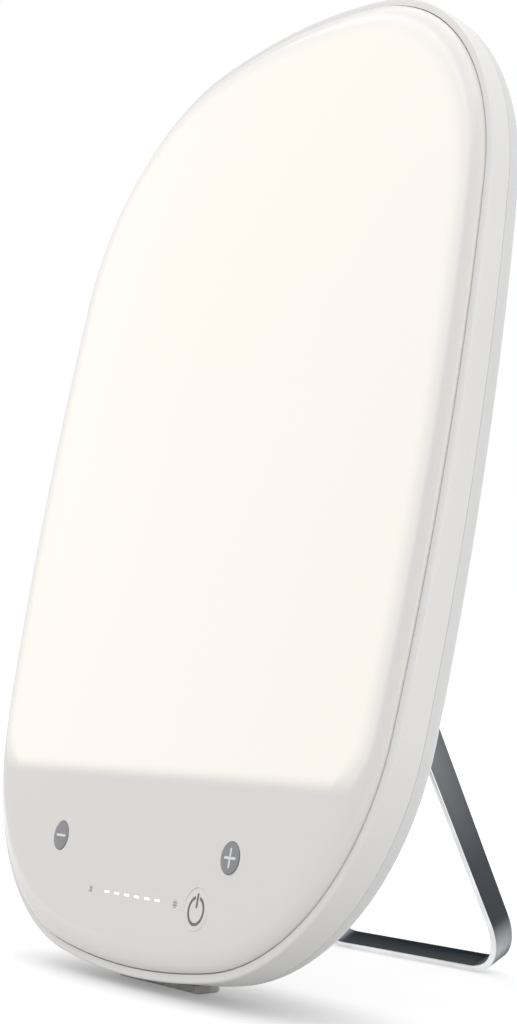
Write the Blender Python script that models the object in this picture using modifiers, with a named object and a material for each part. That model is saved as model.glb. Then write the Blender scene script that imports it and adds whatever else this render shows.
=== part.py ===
# Light therapy lamp: a slim leaning light panel on a folding flat-bar stand.
# Units are metres, +Z is up and the panel faces -Y.
# The panel is modelled in its own frame: x across, y towards the back, z up the panel.

import math

import bmesh
import bpy
from mathutils import Matrix, Vector
from mathutils.geometry import convex_hull_2d

# Panel outline: five tangent arcs a side, from the top centre to the bottom centre.
# The bottom arc closes the outline, so its radius follows from the others.
OUTLINE_TOP = 0.2007
TOP_RADIUS = 0.3270
TOP_SWEEP = 9.92
SHOULDER_RADIUS = 0.1008
SHOULDER_SWEEP = 75.8
SIDE_RADIUS = 1.1840
SIDE_SWEEP = 9.6
HIP_RADIUS = 0.0986
HIP_SWEEP = 76.1
ARC_STEPS = {"top": 3, "shoulder": 12, "side": 4, "hip": 12, "bottom": 3}

# Clearances that every seated or moving piece shares.
SEAT_GAP = 0.0003
RUNNING_GAP = 0.00008
OVERRUN = 0.0020

# Front cover: a pillow edge that runs into a shallow dome.
COVER_WALL = 0.0022
PILLOW_HEIGHT = 0.0047
PILLOW_WIDTH = 0.0170
PILLOW_EXPONENT = 2.6
PILLOW_STEPS = 6
PILLOW_INNER_STEPS = 3
DOME_HEIGHT = 0.0025
DOME_RING_SHARES = (0.66, 0.33)

# Housing frame: the ledge round the cover, the side wall and the web behind the cover.
LEDGE_WIDTH = 0.0036
LEDGE_EDGE = 0.0009
LEDGE_EDGE_SHARE = 0.3
WALL_DRAFT = 0.0007
FRAME_WALL = 0.0022
PARTING_DEPTH = 0.0106
WEDGE_ANGLE = 0.85
WEB_FRONT = 0.0019
WEB_THICKNESS = 0.0018

# Back shell.
REAR_RADIUS = 0.0095
REAR_STEPS = 5
REAR_INNER_STEPS = 3
SHELL_WALL = 0.0022

# Light window: the outline drawn in, cut off above the control zone.
LIGHT_INSET = 0.0118
CONTROL_ZONE = 0.0732
LIGHT_CORNER = 0.0220
LIGHT_CORNER_STEPS = 6
SHEET_LAP = 0.0008

# Sheets and plates behind the cover, from front to back.
DIFFUSER_THICKNESS = 0.0015
GUIDE_THICKNESS = 0.0035
REFLECTOR_THICKNESS = 0.0004
CHASSIS_THICKNESS = 0.0012

# Light strips in the sides, and the chassis wings that carry them.
STRIP_LOW = -0.0580
STRIP_HIGH = 0.0900
STRIP_THICKNESS = 0.0010
STRIP_MARGIN = 0.0002
LED_HEIGHT = 0.0012
LED_LENGTH = 0.0036
LED_COUNT = 10
WING_OFFSET = 0.0069
LIP_THICKNESS = 0.0012
BAND_STEPS = 6

# Foam seal between cover and web.
GASKET_WIDTH = 0.0024
GASKET_INSET = 0.0004
GASKET_THICKNESS = 0.0010

# Case screws and the posts they turn into.
POST_RADIUS = 0.0028
POST_INSET = 0.0072
POST_END_GAP = 0.0007
POST_HEADINGS = (0.0, 50.0, 130.0, 180.0, -130.0, -50.0)
SCREW_SHAFT_RADIUS = 0.0013
SCREW_HEAD_RADIUS = 0.0027
SCREW_HEAD_HEIGHT = 0.0010
SCREW_LENGTH = 0.0085
COUNTERBORE_DEPTH = 0.0014
PILLAR_RADIUS = 0.0025
PILLAR_SHARES = ((0.299, 0.623), (0.458, 0.100), (0.299, -0.473))

# Keys, indicators and the boards behind them.
# Their heights are shares of the control zone, measured from the bottom of the outline.
KEY_SPACING = 0.0627
KEY_RISE_SHARE = 0.616
KEY_RADIUS = 0.0060
KEY_EDGE = 0.0003
KEY_FLANGE = 0.0012
KEY_FLANGE_THICKNESS = 0.0008
KEY_SWITCH_GAP = 0.0006
KEY_PROUD = 0.0002
STEM_RADIUS = 0.0030
STEM_GAP = 0.0005
POWER_PLACE = 0.0459
POWER_RISE_SHARE = 0.347
POWER_RADIUS = 0.0078
INDICATOR_RISE_SHARE = 0.355
INDICATOR_PITCH = 0.0075
INDICATOR_COUNT = 6
INDICATOR_WIDTH = 0.0040
INDICATOR_HEIGHT = 0.0013
PIPE_MARGIN = 0.0030
PIPE_THICKNESS = 0.0010
PIPE_DROP = 0.0005
PIPE_LED_SIZE = 0.0018
PIPE_LED_GAP = 0.0007
CONTROL_BOARD_WIDTH = 0.1420
CONTROL_BOARD_SHARES = (0.212, 0.765)
CONTROL_BOARD_FRONT = 0.0068
CONTROL_BOARD_THICKNESS = 0.0012
SWITCH_SIZE = 0.0060
SWITCH_PLUNGER_RADIUS = 0.0016
SWITCH_PLUNGER_HEIGHT = 0.0005
SWITCH_TOP = 0.0040
DRIVER_BOARD_WIDTH = 0.1100
DRIVER_BOARD_SHARES = (0.260, 0.861)
DRIVER_BOARD_FRONT = 0.0104
DRIVER_BOARD_THICKNESS = 0.0016
DRIVER_PART_DEPTH = 0.0055
DRIVER_PART_SHARES = (
    (-0.690, 0.500, 0.145, 0.273, 1.000),
    (-0.218, 0.250, 0.100, 0.250, 0.873),
    (0.109, 0.636, 0.082, 0.136, 0.290),
    (-0.236, 0.705, 0.045, 0.159, 0.545),
)
STANDOFF_RADIUS = 0.0026
STANDOFF_INSET = 0.0045
BOARD_SCREW_RADIUS = 0.0010
BOARD_SCREW_HEAD = 0.0020
BOARD_SCREW_LENGTH = 0.0045
LINK_WIDTH = 0.0120
LINK_HEIGHT = 0.0040
LINK_PLACE = -0.0250
INLET_PLACE = 0.0340
INLET_RISE_SHARE = 0.505
INLET_BODY = 0.0092
INLET_BODY_DEPTH = 0.0060
INLET_RADIUS = 0.0046
INLET_BORE = 0.0032
INLET_PIN = 0.0010
INLET_BORE_DEPTH = 0.0085
INLET_SINK = 0.0002
LEAD_RADIUS = 0.0009
LEAD_STEPS = 4
LEAD_START_GAP = 0.0005
LEAD_START_DROP = 0.0070
LEAD_START_LIFT = 0.0020
LEAD_SHARES = (
    (0.112, -0.062, 0.042),
    (0.454, -0.093, 0.309),
    (0.848, -0.031, 0.645),
    (1.029, 0.155, 0.827),
    (1.048, 0.775, 0.897),
)

# Foot under the bottom edge.
FOOT_HEIGHT = 0.0018
FOOT_WRAP = 0.0042
FOOT_HALF_LENGTH = 0.0290
FOOT_FRONT = 0.0036
FOOT_BACK = 0.0070
FOOT_EDGE = 0.0012

# Stand and hinges.
PANEL_TILT = 11.95
STAND_LEAN = 25.5
STAND_HALF_WIDTH = 0.0660
STAND_CORNER = 0.0240
STAND_CORNER_STEPS = 7
BAR_WIDTH = 0.0128
BAR_FOOT_WIDTH = 0.0102
BAR_THICKNESS = 0.0026
BAR_EDGE = 0.0004
EYE_STEPS = 6
EYE_FLAT_SHARE = 0.35
PIVOT_HEIGHT = -0.0267
PIVOT_STANDOFF = 0.0114
PIN_RADIUS = 0.0020
PIN_HEAD_RADIUS = 0.0033
PIN_HEAD_THICKNESS = 0.0012
WASHER_RADIUS = 0.0050
WASHER_THICKNESS = 0.0008
EAR_THICKNESS = 0.0016
EAR_RADIUS = 0.0060
BASE_THICKNESS = 0.0016
BASE_HALF_HEIGHT = 0.0110
BASE_MARGIN = 0.0066
STOP_RADIUS = 0.0016
STOP_DISTANCE = 0.0100
STOP_EAR_MARGIN = 0.0014
BRACKET_SCREW_OFFSET = 0.0075
BRACKET_SCREW_LENGTH = 0.0070
BRACKET_HEAD_RADIUS = 0.0024
BRACKET_HEAD_HEIGHT = 0.0014
BOSS_RADIUS = 0.0034
BOSS_HEIGHT = 0.0050

ROUND_STEPS = 24
WASHER_STEPS = 16
SMALL_STEPS = 12
SCREW_STEPS = 8
SHARP_ANGLE = math.radians(32)
QUARTER_TURN = math.radians(90)
FULL_TURN = math.radians(360)
WELD = 0.00001

TILT = math.radians(PANEL_TILT)
LEAN = math.radians(STAND_LEAN)
WEDGE = math.radians(WEDGE_ANGLE)
RIM_OFFSET = LEDGE_WIDTH - WALL_DRAFT
WEB_BACK = WEB_FRONT + WEB_THICKNESS
DIFFUSER_FRONT = WEB_BACK + SEAT_GAP
GUIDE_FRONT = DIFFUSER_FRONT + DIFFUSER_THICKNESS + SEAT_GAP
REFLECTOR_FRONT = GUIDE_FRONT + GUIDE_THICKNESS + SEAT_GAP
CHASSIS_FRONT = REFLECTOR_FRONT + REFLECTOR_THICKNESS + SEAT_GAP
CHASSIS_BACK = CHASSIS_FRONT + CHASSIS_THICKNESS
BACK_DEPTH = PARTING_DEPTH + SEAT_GAP + REAR_RADIUS
CONTROL_BOARD_BACK = CONTROL_BOARD_FRONT + CONTROL_BOARD_THICKNESS
DRIVER_BOARD_BACK = DRIVER_BOARD_FRONT + DRIVER_BOARD_THICKNESS
COVER_REACH = PILLOW_HEIGHT + DOME_HEIGHT + OVERRUN
PILLARS = [(side * across * OUTLINE_TOP, along * OUTLINE_TOP)
           for side in (-1, 1) for across, along in PILLAR_SHARES]
EAR_OUTER = STAND_HALF_WIDTH - BAR_THICKNESS - WASHER_THICKNESS - 2 * SEAT_GAP
EAR_INNER = EAR_OUTER - EAR_THICKNESS
BRACKET_SCREW_X = EAR_INNER - BASE_MARGIN
BASE_INNER = BRACKET_SCREW_X - BASE_MARGIN


# Scene and material helpers.

def clear_scene():
    for item in list(bpy.data.objects):
        bpy.data.objects.remove(item, do_unlink=True)
    for collection in list(bpy.data.collections):
        bpy.data.collections.remove(collection)


def new_collection(name):
    collection = bpy.data.collections.new(name)
    bpy.context.scene.collection.children.link(collection)
    return collection


def make_material(name, colour, roughness, metallic=0.0):
    material = bpy.data.materials.new(name)
    material.use_nodes = True
    shader = material.node_tree.nodes["Principled BSDF"]
    shader.inputs["Base Color"].default_value = (*colour, 1.0)
    shader.inputs["Roughness"].default_value = roughness
    shader.inputs["Metallic"].default_value = metallic
    material.diffuse_color = (*colour, 1.0)
    return material


def make_empty(name, parent, location=(0.0, 0.0, 0.0), angle=0.0):
    empty = bpy.data.objects.new(name, None)
    empty.parent = parent
    empty.location = location
    empty.rotation_euler = (angle, 0.0, 0.0)
    PARTS.objects.link(empty)
    return empty


def place(mesh, name, material, parent):
    part = bpy.data.objects.new(name, mesh)
    part.parent = parent
    PARTS.objects.link(part)
    mesh.materials.append(material)
    mesh.shade_smooth()
    mesh.set_sharp_from_angle(angle=SHARP_ANGLE)
    return part


def guide(mesh, name, parent):
    tool = bpy.data.objects.new(name, mesh)
    tool.parent = parent
    tool.hide_render = True
    tool.display_type = "WIRE"
    CUTTERS.objects.link(tool)
    return tool


def combine(part, tool, operation):
    modifier = part.modifiers.new(operation.lower() + "_" + tool.name, "BOOLEAN")
    modifier.operation = operation
    modifier.solver = "EXACT"
    modifier.object = tool


def cut(part, tool):
    combine(part, tool, "DIFFERENCE")


def join(part, tool):
    combine(part, tool, "UNION")


def bundle(name, meshes):
    """Several separate bodies in one mesh, to use as one tool."""
    builder = bmesh.new()
    for mesh in meshes:
        builder.from_mesh(mesh)
        bpy.data.meshes.remove(mesh)
    return mesh_from(builder, name)


def mesh_from(builder, name):
    mesh = bpy.data.meshes.new(name)
    builder.normal_update()
    builder.to_mesh(mesh)
    builder.free()
    return mesh


# Shape helpers.

def loft(name, rings):
    """Skin a list of point rings and close both ends."""
    builder = bmesh.new()
    loops = [[builder.verts.new(point) for point in ring] for ring in rings]
    count = len(loops[0])
    for first, second in zip(loops, loops[1:]):
        for i in range(count):
            j = (i + 1) % count
            builder.faces.new((first[i], first[j], second[j], second[i]))
    builder.faces.new(reversed(loops[0]))
    builder.faces.new(loops[-1])
    bmesh.ops.recalc_face_normals(builder, faces=builder.faces)
    return mesh_from(builder, name)


def plate(name, outlines, low, high, plane="xz"):
    """Extrude flat outlines; the first is the rim and the others are openings."""
    curve = bpy.data.curves.new(name, "CURVE")
    curve.dimensions = "2D"
    curve.fill_mode = "BOTH"
    curve.resolution_u = 1
    curve.extrude = (high - low) / 2
    for points in outlines:
        spline = curve.splines.new("POLY")
        spline.points.add(len(points) - 1)
        for knot, (across, along) in zip(spline.points, points):
            knot.co = (across, along, 0.0, 1.0)
        spline.use_cyclic_u = True
    source = bpy.data.objects.new(name + "_curve", curve)
    CUTTERS.objects.link(source)
    bpy.context.view_layer.update()
    graph = bpy.context.evaluated_depsgraph_get()
    mesh = bpy.data.meshes.new_from_object(source.evaluated_get(graph))
    bpy.data.objects.remove(source, do_unlink=True)
    middle = (low + high) / 2
    turn = {
        "xz": Matrix(((1, 0, 0, 0), (0, 0, 1, middle), (0, 1, 0, 0), (0, 0, 0, 1))),
        "yz": Matrix(((0, 0, 1, middle), (1, 0, 0, 0), (0, 1, 0, 0), (0, 0, 0, 1))),
    }[plane]
    builder = bmesh.new()
    builder.from_mesh(mesh)
    bpy.data.meshes.remove(mesh)
    bmesh.ops.remove_doubles(builder, verts=builder.verts, dist=WELD)
    bmesh.ops.transform(builder, matrix=turn, verts=builder.verts)
    bmesh.ops.recalc_face_normals(builder, faces=builder.faces)
    return mesh_from(builder, name)


def block(name, low, high):
    builder = bmesh.new()
    bmesh.ops.create_cube(builder, size=1.0)
    size = [b - a for a, b in zip(low, high)]
    centre = [(a + b) / 2 for a, b in zip(low, high)]
    bmesh.ops.scale(builder, vec=size, verts=builder.verts)
    bmesh.ops.translate(builder, vec=centre, verts=builder.verts)
    return mesh_from(builder, name)


def rod(name, radius, low, high, centre=(0.0, 0.0), axis="y", steps=SMALL_STEPS):
    """A cylinder along y or x; centre is the place across that axis."""
    builder = bmesh.new()
    bmesh.ops.create_cone(builder, cap_ends=True, segments=steps, radius1=radius,
                          radius2=radius, depth=high - low)
    middle = (low + high) / 2
    if axis == "y":
        turn = Matrix.Rotation(-QUARTER_TURN, 4, "X")
        shift = Matrix.Translation((centre[0], middle, centre[1]))
    else:
        turn = Matrix.Rotation(QUARTER_TURN, 4, "Y")
        shift = Matrix.Translation((middle, centre[0], centre[1]))
    bmesh.ops.transform(builder, matrix=shift @ turn, verts=builder.verts)
    return mesh_from(builder, name)


def turned(name, profile, material, parent, location, axis="y", steps=ROUND_STEPS):
    """Spin a profile of (radius, height) pairs; height runs along y or x."""
    builder = bmesh.new()
    knots = [builder.verts.new((radius, 0.0, height)) for radius, height in profile]
    for first, second in zip(knots, knots[1:]):
        builder.edges.new((first, second))
    mesh = mesh_from(builder, name)
    part = bpy.data.objects.new(name, mesh)
    part.parent = parent
    part.location = location
    turn = {"y": (-QUARTER_TURN, 0.0, 0.0), "x": (0.0, QUARTER_TURN, 0.0)}
    part.rotation_euler = turn[axis]
    mesh.materials.append(material)
    screw = part.modifiers.new("turn", "SCREW")
    screw.axis = "Z"
    screw.steps = steps
    screw.render_steps = steps
    screw.use_merge_vertices = True
    screw.merge_threshold = WELD
    screw.use_smooth_shade = True
    closing = profile[1:] + profile[:1]
    area = sum(a[0] * b[1] - b[0] * a[1] for a, b in zip(profile, closing))
    screw.use_normal_flip = area > 0
    PARTS.objects.link(part)
    return part


def smooth_route(points, steps):
    """Points along a smooth curve through the given places."""
    places = [Vector(point) for point in points]
    places = [2 * places[0] - places[1]] + places + [2 * places[-1] - places[-2]]
    route = []
    for a, b, c, d in zip(places, places[1:], places[2:], places[3:]):
        for step in range(steps):
            t = step / steps
            route.append(((2 * b) + (c - a) * t + (2 * a - 5 * b + 4 * c - d) * t * t
                          + (3 * b - a - 3 * c + d) * t * t * t) / 2)
    route.append(places[-2])
    return route


# Panel geometry.

def outline_arcs():
    """Centre, radius, first and last heading and step count of each arc of one side."""
    arcs = []
    x, z, heading = 0.0, OUTLINE_TOP, 0.0
    for radius, sweep, part in (
        (TOP_RADIUS, TOP_SWEEP, "top"),
        (SHOULDER_RADIUS, SHOULDER_SWEEP, "shoulder"),
        (SIDE_RADIUS, SIDE_SWEEP, "side"),
        (HIP_RADIUS, HIP_SWEEP, "hip"),
        (None, None, "bottom"),
    ):
        if radius is None:
            radius = x / math.sin(heading)
            turn = math.pi - heading
        else:
            turn = math.radians(sweep)
        centre_x = x - radius * math.sin(heading)
        centre_z = z - radius * math.cos(heading)
        arcs.append((centre_x, centre_z, radius, heading, heading + turn, ARC_STEPS[part]))
        heading += turn
        x = centre_x + radius * math.sin(heading)
        z = centre_z + radius * math.cos(heading)
    return arcs


ARCS = outline_arcs()
SIDE_ARC = ARCS[2]
OUTLINE_BOTTOM = ARCS[-1][1] - ARCS[-1][2]
LIGHT_BOTTOM = OUTLINE_BOTTOM + CONTROL_ZONE


def zone_height(share):
    """Height up the panel of a share of the control zone."""
    return OUTLINE_BOTTOM + CONTROL_ZONE * share


INDICATOR_HEIGHT_UP = zone_height(INDICATOR_RISE_SHARE)
INLET_HEIGHT = zone_height(INLET_RISE_SHARE)
CONTROL_BOARD_LOW, CONTROL_BOARD_HIGH = [zone_height(s) for s in CONTROL_BOARD_SHARES]
DRIVER_BOARD_LOW, DRIVER_BOARD_HIGH = [zone_height(s) for s in DRIVER_BOARD_SHARES]


def outline(offset=0.0):
    """The panel outline moved outward by an offset, as (x, z) points all the way round."""
    half = [(0.0, ARCS[0][1] + ARCS[0][2] + offset)]
    for centre_x, centre_z, radius, first, last, steps in ARCS:
        for step in range(1, steps + 1):
            heading = first + (last - first) * step / steps
            half.append((centre_x + (radius + offset) * math.sin(heading),
                         centre_z + (radius + offset) * math.cos(heading)))
    half[-1] = (0.0, half[-1][1])
    return half + [(-x, z) for x, z in reversed(half[1:-1])]


def outline_point(heading_degrees, offset):
    """The outline point with the given outward heading, measured from straight up."""
    heading = math.radians(abs(heading_degrees))
    for centre_x, centre_z, radius, first, last, steps in ARCS:
        if heading <= last + WELD:
            break
    x = centre_x + (radius + offset) * math.sin(heading)
    z = centre_z + (radius + offset) * math.cos(heading)
    return (math.copysign(x, heading_degrees) if heading_degrees else 0.0, z)


def side_x(offset, height):
    """Distance of the straight side from the middle at a height up the panel."""
    centre_x, centre_z, radius = SIDE_ARC[:3]
    return centre_x + math.sqrt((radius + offset) ** 2 - (height - centre_z) ** 2)


def back_depth(height):
    """Depth of the shell's back face at a height up the panel."""
    return BACK_DEPTH - math.tan(WEDGE) * height


def ring(offset, depth, wedge=False):
    """One ring of a loft; a wedge ring is deeper towards the bottom of the panel."""
    slope = math.tan(WEDGE) if wedge else 0.0
    return [(x, depth - slope * z, z) for x, z in outline(offset)]


def light_outline(grow):
    """The light window, grown by a lap: rounded where it meets the control zone."""
    bottom = LIGHT_BOTTOM - grow
    radius = LIGHT_CORNER + grow
    upper = [(x, z) for x, z in outline(grow - LIGHT_INSET) if z > bottom + radius]
    side = side_x(grow - LIGHT_INSET, bottom + radius)
    corner = []
    for step in range(LIGHT_CORNER_STEPS + 1):
        turn = QUARTER_TURN * step / LIGHT_CORNER_STEPS
        corner.append((side - radius + radius * math.cos(turn),
                       bottom + radius - radius * math.sin(turn)))
    right = [point for point in upper if point[0] > 0]
    left = [point for point in upper if point[0] < 0]
    middle = [point for point in upper if point[0] == 0]
    return middle + right + corner + [(-x, z) for x, z in reversed(corner)] + left


def cover_profile(steps):
    """Shares of the pillow's width and height, from the cover's edge to the dome."""
    power = 2 / PILLOW_EXPONENT
    rows = [(0.0, 0.0)]
    for step in range(1, steps):
        turn = QUARTER_TURN * step / steps
        rows.append((1 - math.cos(turn) ** power, math.sin(turn) ** power))
    return rows + [(1.0, 1.0)]


def dome_centre():
    return (OUTLINE_TOP + OUTLINE_BOTTOM) / 2


def front_height(x, z):
    """Height of the cover's face above the ledge, inside the pillow edge."""
    middle = dome_centre()
    bearing = math.atan2(x, z - middle)
    rim = [(math.atan2(px, pz - middle), math.hypot(px, pz - middle))
           for px, pz in outline(-PILLOW_WIDTH)]
    nearest = min(rim, key=lambda item: abs(item[0] - bearing))
    share = math.hypot(x, z - middle) / nearest[1]
    return PILLOW_HEIGHT + DOME_HEIGHT * (1 - share ** 2)


def side_band(inner, outer):
    """A strip along one straight side, between two offsets, as long as the light strips."""
    heights = [STRIP_LOW + (STRIP_HIGH - STRIP_LOW) * step / BAND_STEPS
               for step in range(BAND_STEPS + 1)]
    far = [(side_x(outer, z), z) for z in heights]
    near = [(side_x(inner, z), z) for z in reversed(heights)]
    return far + near


def mirrored(points, side):
    return [(x * side, z) for x, z in points]


# Front cover, with its openings for keys and indicators.

def key_places():
    return (
        ("minus", -KEY_SPACING, zone_height(KEY_RISE_SHARE), KEY_RADIUS),
        ("plus", KEY_SPACING, zone_height(KEY_RISE_SHARE), KEY_RADIUS),
        ("power", POWER_PLACE, zone_height(POWER_RISE_SHARE), POWER_RADIUS),
    )


def indicator_places():
    half = (INDICATOR_COUNT - 1) / 2
    return [(i - half) * INDICATOR_PITCH for i in range(INDICATOR_COUNT)]


def cover_rings(inward, steps):
    """Rings of the cover's outer face, or of its inner face, from the edge to the dome."""
    reach = PILLOW_WIDTH - inward
    rise = PILLOW_HEIGHT - inward
    rings = []
    for inset_share, height_share in cover_profile(steps):
        rings.append(ring(-inward - reach * inset_share, SEAT_GAP - rise * height_share))
    middle = dome_centre()
    rim = outline(-PILLOW_WIDTH)
    for share in DOME_RING_SHARES:
        depth = SEAT_GAP - rise - DOME_HEIGHT * (1 - share ** 2)
        rings.append([(x * share, depth, middle + (z - middle) * share) for x, z in rim])
    return rings


def build_front_cover(panel):
    inner = cover_rings(COVER_WALL, PILLOW_INNER_STEPS)
    rings = list(reversed(inner)) + cover_rings(0.0, PILLOW_STEPS)
    cover = place(loft("front_cover", rings), "front_cover", COVER, panel)
    holes = [rod("hole", radius + SEAT_GAP, -COVER_REACH, COVER_REACH, (x, z),
                 steps=ROUND_STEPS) for name, x, z, radius in key_places()]
    cut(cover, guide(bundle("key_holes", holes), "key_holes", panel))
    slots = indicator_blocks(SEAT_GAP, -COVER_REACH, COVER_REACH)
    cut(cover, guide(bundle("indicator_slots", slots), "indicator_slots", panel))


def indicator_blocks(grow, low, high):
    half_width = INDICATOR_WIDTH / 2 + grow
    bottom = INDICATOR_HEIGHT_UP - INDICATOR_HEIGHT / 2 - grow
    top = INDICATOR_HEIGHT_UP + INDICATOR_HEIGHT / 2 + grow
    return [block("window", (x - half_width, low, bottom), (x + half_width, high, top))
            for x in indicator_places()]


def build_gasket(panel):
    high = WEB_FRONT - SEAT_GAP
    outlines = (outline(-GASKET_INSET), outline(-GASKET_INSET - GASKET_WIDTH))
    mesh = plate("cover_gasket", outlines, high - GASKET_THICKNESS, high)
    place(mesh, "cover_gasket", FOAM, panel)


# Housing: the frame with its web and posts, and the dished back shell.

def post_places():
    return [outline_point(heading, -POST_INSET) for heading in POST_HEADINGS]


def board_corners(width, low, high):
    """Places of the four standoffs inside a board's corners."""
    x = width / 2 - STANDOFF_INSET
    return [(side * x, z) for z in (low + STANDOFF_INSET, high - STANDOFF_INSET)
            for side in (-1, 1)]


def control_standoffs():
    return board_corners(CONTROL_BOARD_WIDTH, CONTROL_BOARD_LOW, CONTROL_BOARD_HIGH)


def driver_standoffs():
    return board_corners(DRIVER_BOARD_WIDTH, DRIVER_BOARD_LOW, DRIVER_BOARD_HIGH)


def frame_rings():
    soft = LEDGE_EDGE * LEDGE_EDGE_SHARE
    return [
        ring(SEAT_GAP, WEB_FRONT),
        ring(SEAT_GAP, 0.0),
        ring(LEDGE_WIDTH - LEDGE_EDGE, 0.0),
        ring(LEDGE_WIDTH - soft, soft),
        ring(LEDGE_WIDTH, LEDGE_EDGE),
        ring(RIM_OFFSET, PARTING_DEPTH, wedge=True),
        ring(RIM_OFFSET - FRAME_WALL, PARTING_DEPTH, wedge=True),
        ring(RIM_OFFSET - FRAME_WALL, WEB_BACK),
    ]


def build_frame(panel):
    frame = place(loft("housing_frame", frame_rings()), "housing_frame", HOUSING, panel)
    root = (WEB_FRONT + WEB_BACK) / 2
    posts = [rod("post", POST_RADIUS, root, back_depth(z) - SHELL_WALL - POST_END_GAP, (x, z))
             for x, z in post_places()]
    posts += [rod("post", STANDOFF_RADIUS, root, CONTROL_BOARD_FRONT - SEAT_GAP, (x, z))
              for x, z in control_standoffs()]
    join(frame, guide(bundle("frame_posts", posts), "frame_posts", panel))
    window = plate("light_window", [light_outline(0.0)], 0.0, WEB_BACK + OVERRUN)
    cut(frame, guide(window, "light_window", panel))
    end = CONTROL_BOARD_FRONT + OVERRUN
    bores = [rod("bore", SCREW_SHAFT_RADIUS + SEAT_GAP,
                 back_depth(z) - SCREW_LENGTH - OVERRUN, back_depth(z), (x, z))
             for x, z in post_places()]
    bores += [rod("bore", BOARD_SCREW_RADIUS + SEAT_GAP, root, end, (x, z))
              for x, z in control_standoffs()]
    bores += [rod("bore", STEM_RADIUS + STEM_GAP, 0.0, end, (x, z))
              for name, x, z, radius in key_places()]
    half = indicator_places()[-1] + INDICATOR_WIDTH / 2 + STEM_GAP
    rise = INDICATOR_HEIGHT / 2 + STEM_GAP
    bores.append(block("slot", (-half, 0.0, INDICATOR_HEIGHT_UP - rise),
                       (half, end, INDICATOR_HEIGHT_UP + rise)))
    cut(frame, guide(bundle("frame_bores", bores), "frame_bores", panel))


def shell_rings(inward, steps):
    """Rings of the shell's outer face, or of its inner face, from the parting line back."""
    radius = REAR_RADIUS - inward
    rings = []
    for step in range(steps + 1):
        turn = QUARTER_TURN * step / steps
        offset = RIM_OFFSET - REAR_RADIUS + radius * math.cos(turn)
        depth = PARTING_DEPTH + SEAT_GAP + radius * math.sin(turn)
        rings.append(ring(offset, depth, wedge=True))
    return rings


def bracket_screw_places():
    return [(side * BRACKET_SCREW_X, PIVOT_HEIGHT + step * BRACKET_SCREW_OFFSET)
            for side in (-1, 1) for step in (-1, 1)]


def wall_middle(height):
    """Depth of the middle of the shell's back wall, where its posts take root."""
    return back_depth(height) - SHELL_WALL / 2


def build_shell(panel):
    inside = shell_rings(SHELL_WALL, REAR_INNER_STEPS)
    rings = list(reversed(inside)) + shell_rings(0.0, REAR_STEPS)
    shell = place(loft("back_shell", rings), "back_shell", SHELL, panel)
    posts = [rod("post", PILLAR_RADIUS, CHASSIS_BACK + SEAT_GAP, wall_middle(z), (x, z))
             for x, z in PILLARS]
    posts += [rod("post", BOSS_RADIUS, wall_middle(z) - BOSS_HEIGHT, wall_middle(z), (x, z))
              for x, z in bracket_screw_places()]
    posts += [rod("post", STANDOFF_RADIUS, DRIVER_BOARD_BACK + SEAT_GAP, wall_middle(z), (x, z))
              for x, z in driver_standoffs()]
    join(shell, guide(bundle("shell_posts", posts), "shell_posts", panel))
    holes = [rod("hole", SCREW_SHAFT_RADIUS + SEAT_GAP, back_depth(z) - SHELL_WALL - OVERRUN,
                 back_depth(z) - COUNTERBORE_DEPTH / 2, (x, z)) for x, z in post_places()]
    wells = [rod("well", SCREW_HEAD_RADIUS + SEAT_GAP, back_depth(z) - COUNTERBORE_DEPTH,
                 back_depth(z) + OVERRUN, (x, z)) for x, z in post_places()]
    cut(shell, guide(bundle("case_screw_holes", holes), "case_screw_holes", panel))
    cut(shell, guide(bundle("case_counterbores", wells), "case_counterbores", panel))
    bores = [rod("bore", SCREW_SHAFT_RADIUS + SEAT_GAP,
                 back_depth(z) - BRACKET_SCREW_LENGTH, back_depth(z) + OVERRUN, (x, z))
             for x, z in bracket_screw_places()]
    bores += [rod("bore", BOARD_SCREW_RADIUS + SEAT_GAP, DRIVER_BOARD_FRONT,
                  DRIVER_BOARD_FRONT + BOARD_SCREW_LENGTH + OVERRUN, (x, z))
              for x, z in driver_standoffs()]
    bores.append(rod("bore", INLET_RADIUS + SEAT_GAP, DRIVER_BOARD_BACK,
                     back_depth(INLET_HEIGHT) + OVERRUN, (INLET_PLACE, INLET_HEIGHT),
                     steps=ROUND_STEPS))
    cut(shell, guide(bundle("shell_bores", bores), "shell_bores", panel))


def screw_profile(shaft, head, head_height, length):
    """A pan head with a soft rim and a plain shaft; height zero is under the head."""
    return ((0.0, -length), (shaft, -length), (shaft, 0.0), (head, 0.0),
            (head, head_height / 2), (head - head_height / 2, head_height), (0.0, head_height))


def build_case_screws(panel):
    profile = screw_profile(SCREW_SHAFT_RADIUS, SCREW_HEAD_RADIUS, SCREW_HEAD_HEIGHT,
                            SCREW_LENGTH)
    for i, (x, z) in enumerate(post_places()):
        seat = back_depth(z) - COUNTERBORE_DEPTH + SEAT_GAP
        turned(f"case_screw_{i + 1}", profile, SCREW_STEEL, panel, (x, seat, z),
               steps=SMALL_STEPS)


# Light engine: sheets, chassis and light strips.

def build_sheets(panel):
    for name, low, thickness, material in (
        ("diffuser_sheet", DIFFUSER_FRONT, DIFFUSER_THICKNESS, OPAL),
        ("light_guide", GUIDE_FRONT, GUIDE_THICKNESS, CLEAR),
        ("reflector_sheet", REFLECTOR_FRONT, REFLECTOR_THICKNESS, WHITE_FILM),
    ):
        mesh = plate(name, [light_outline(SHEET_LAP)], low, low + thickness)
        place(mesh, name, material, panel)


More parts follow.
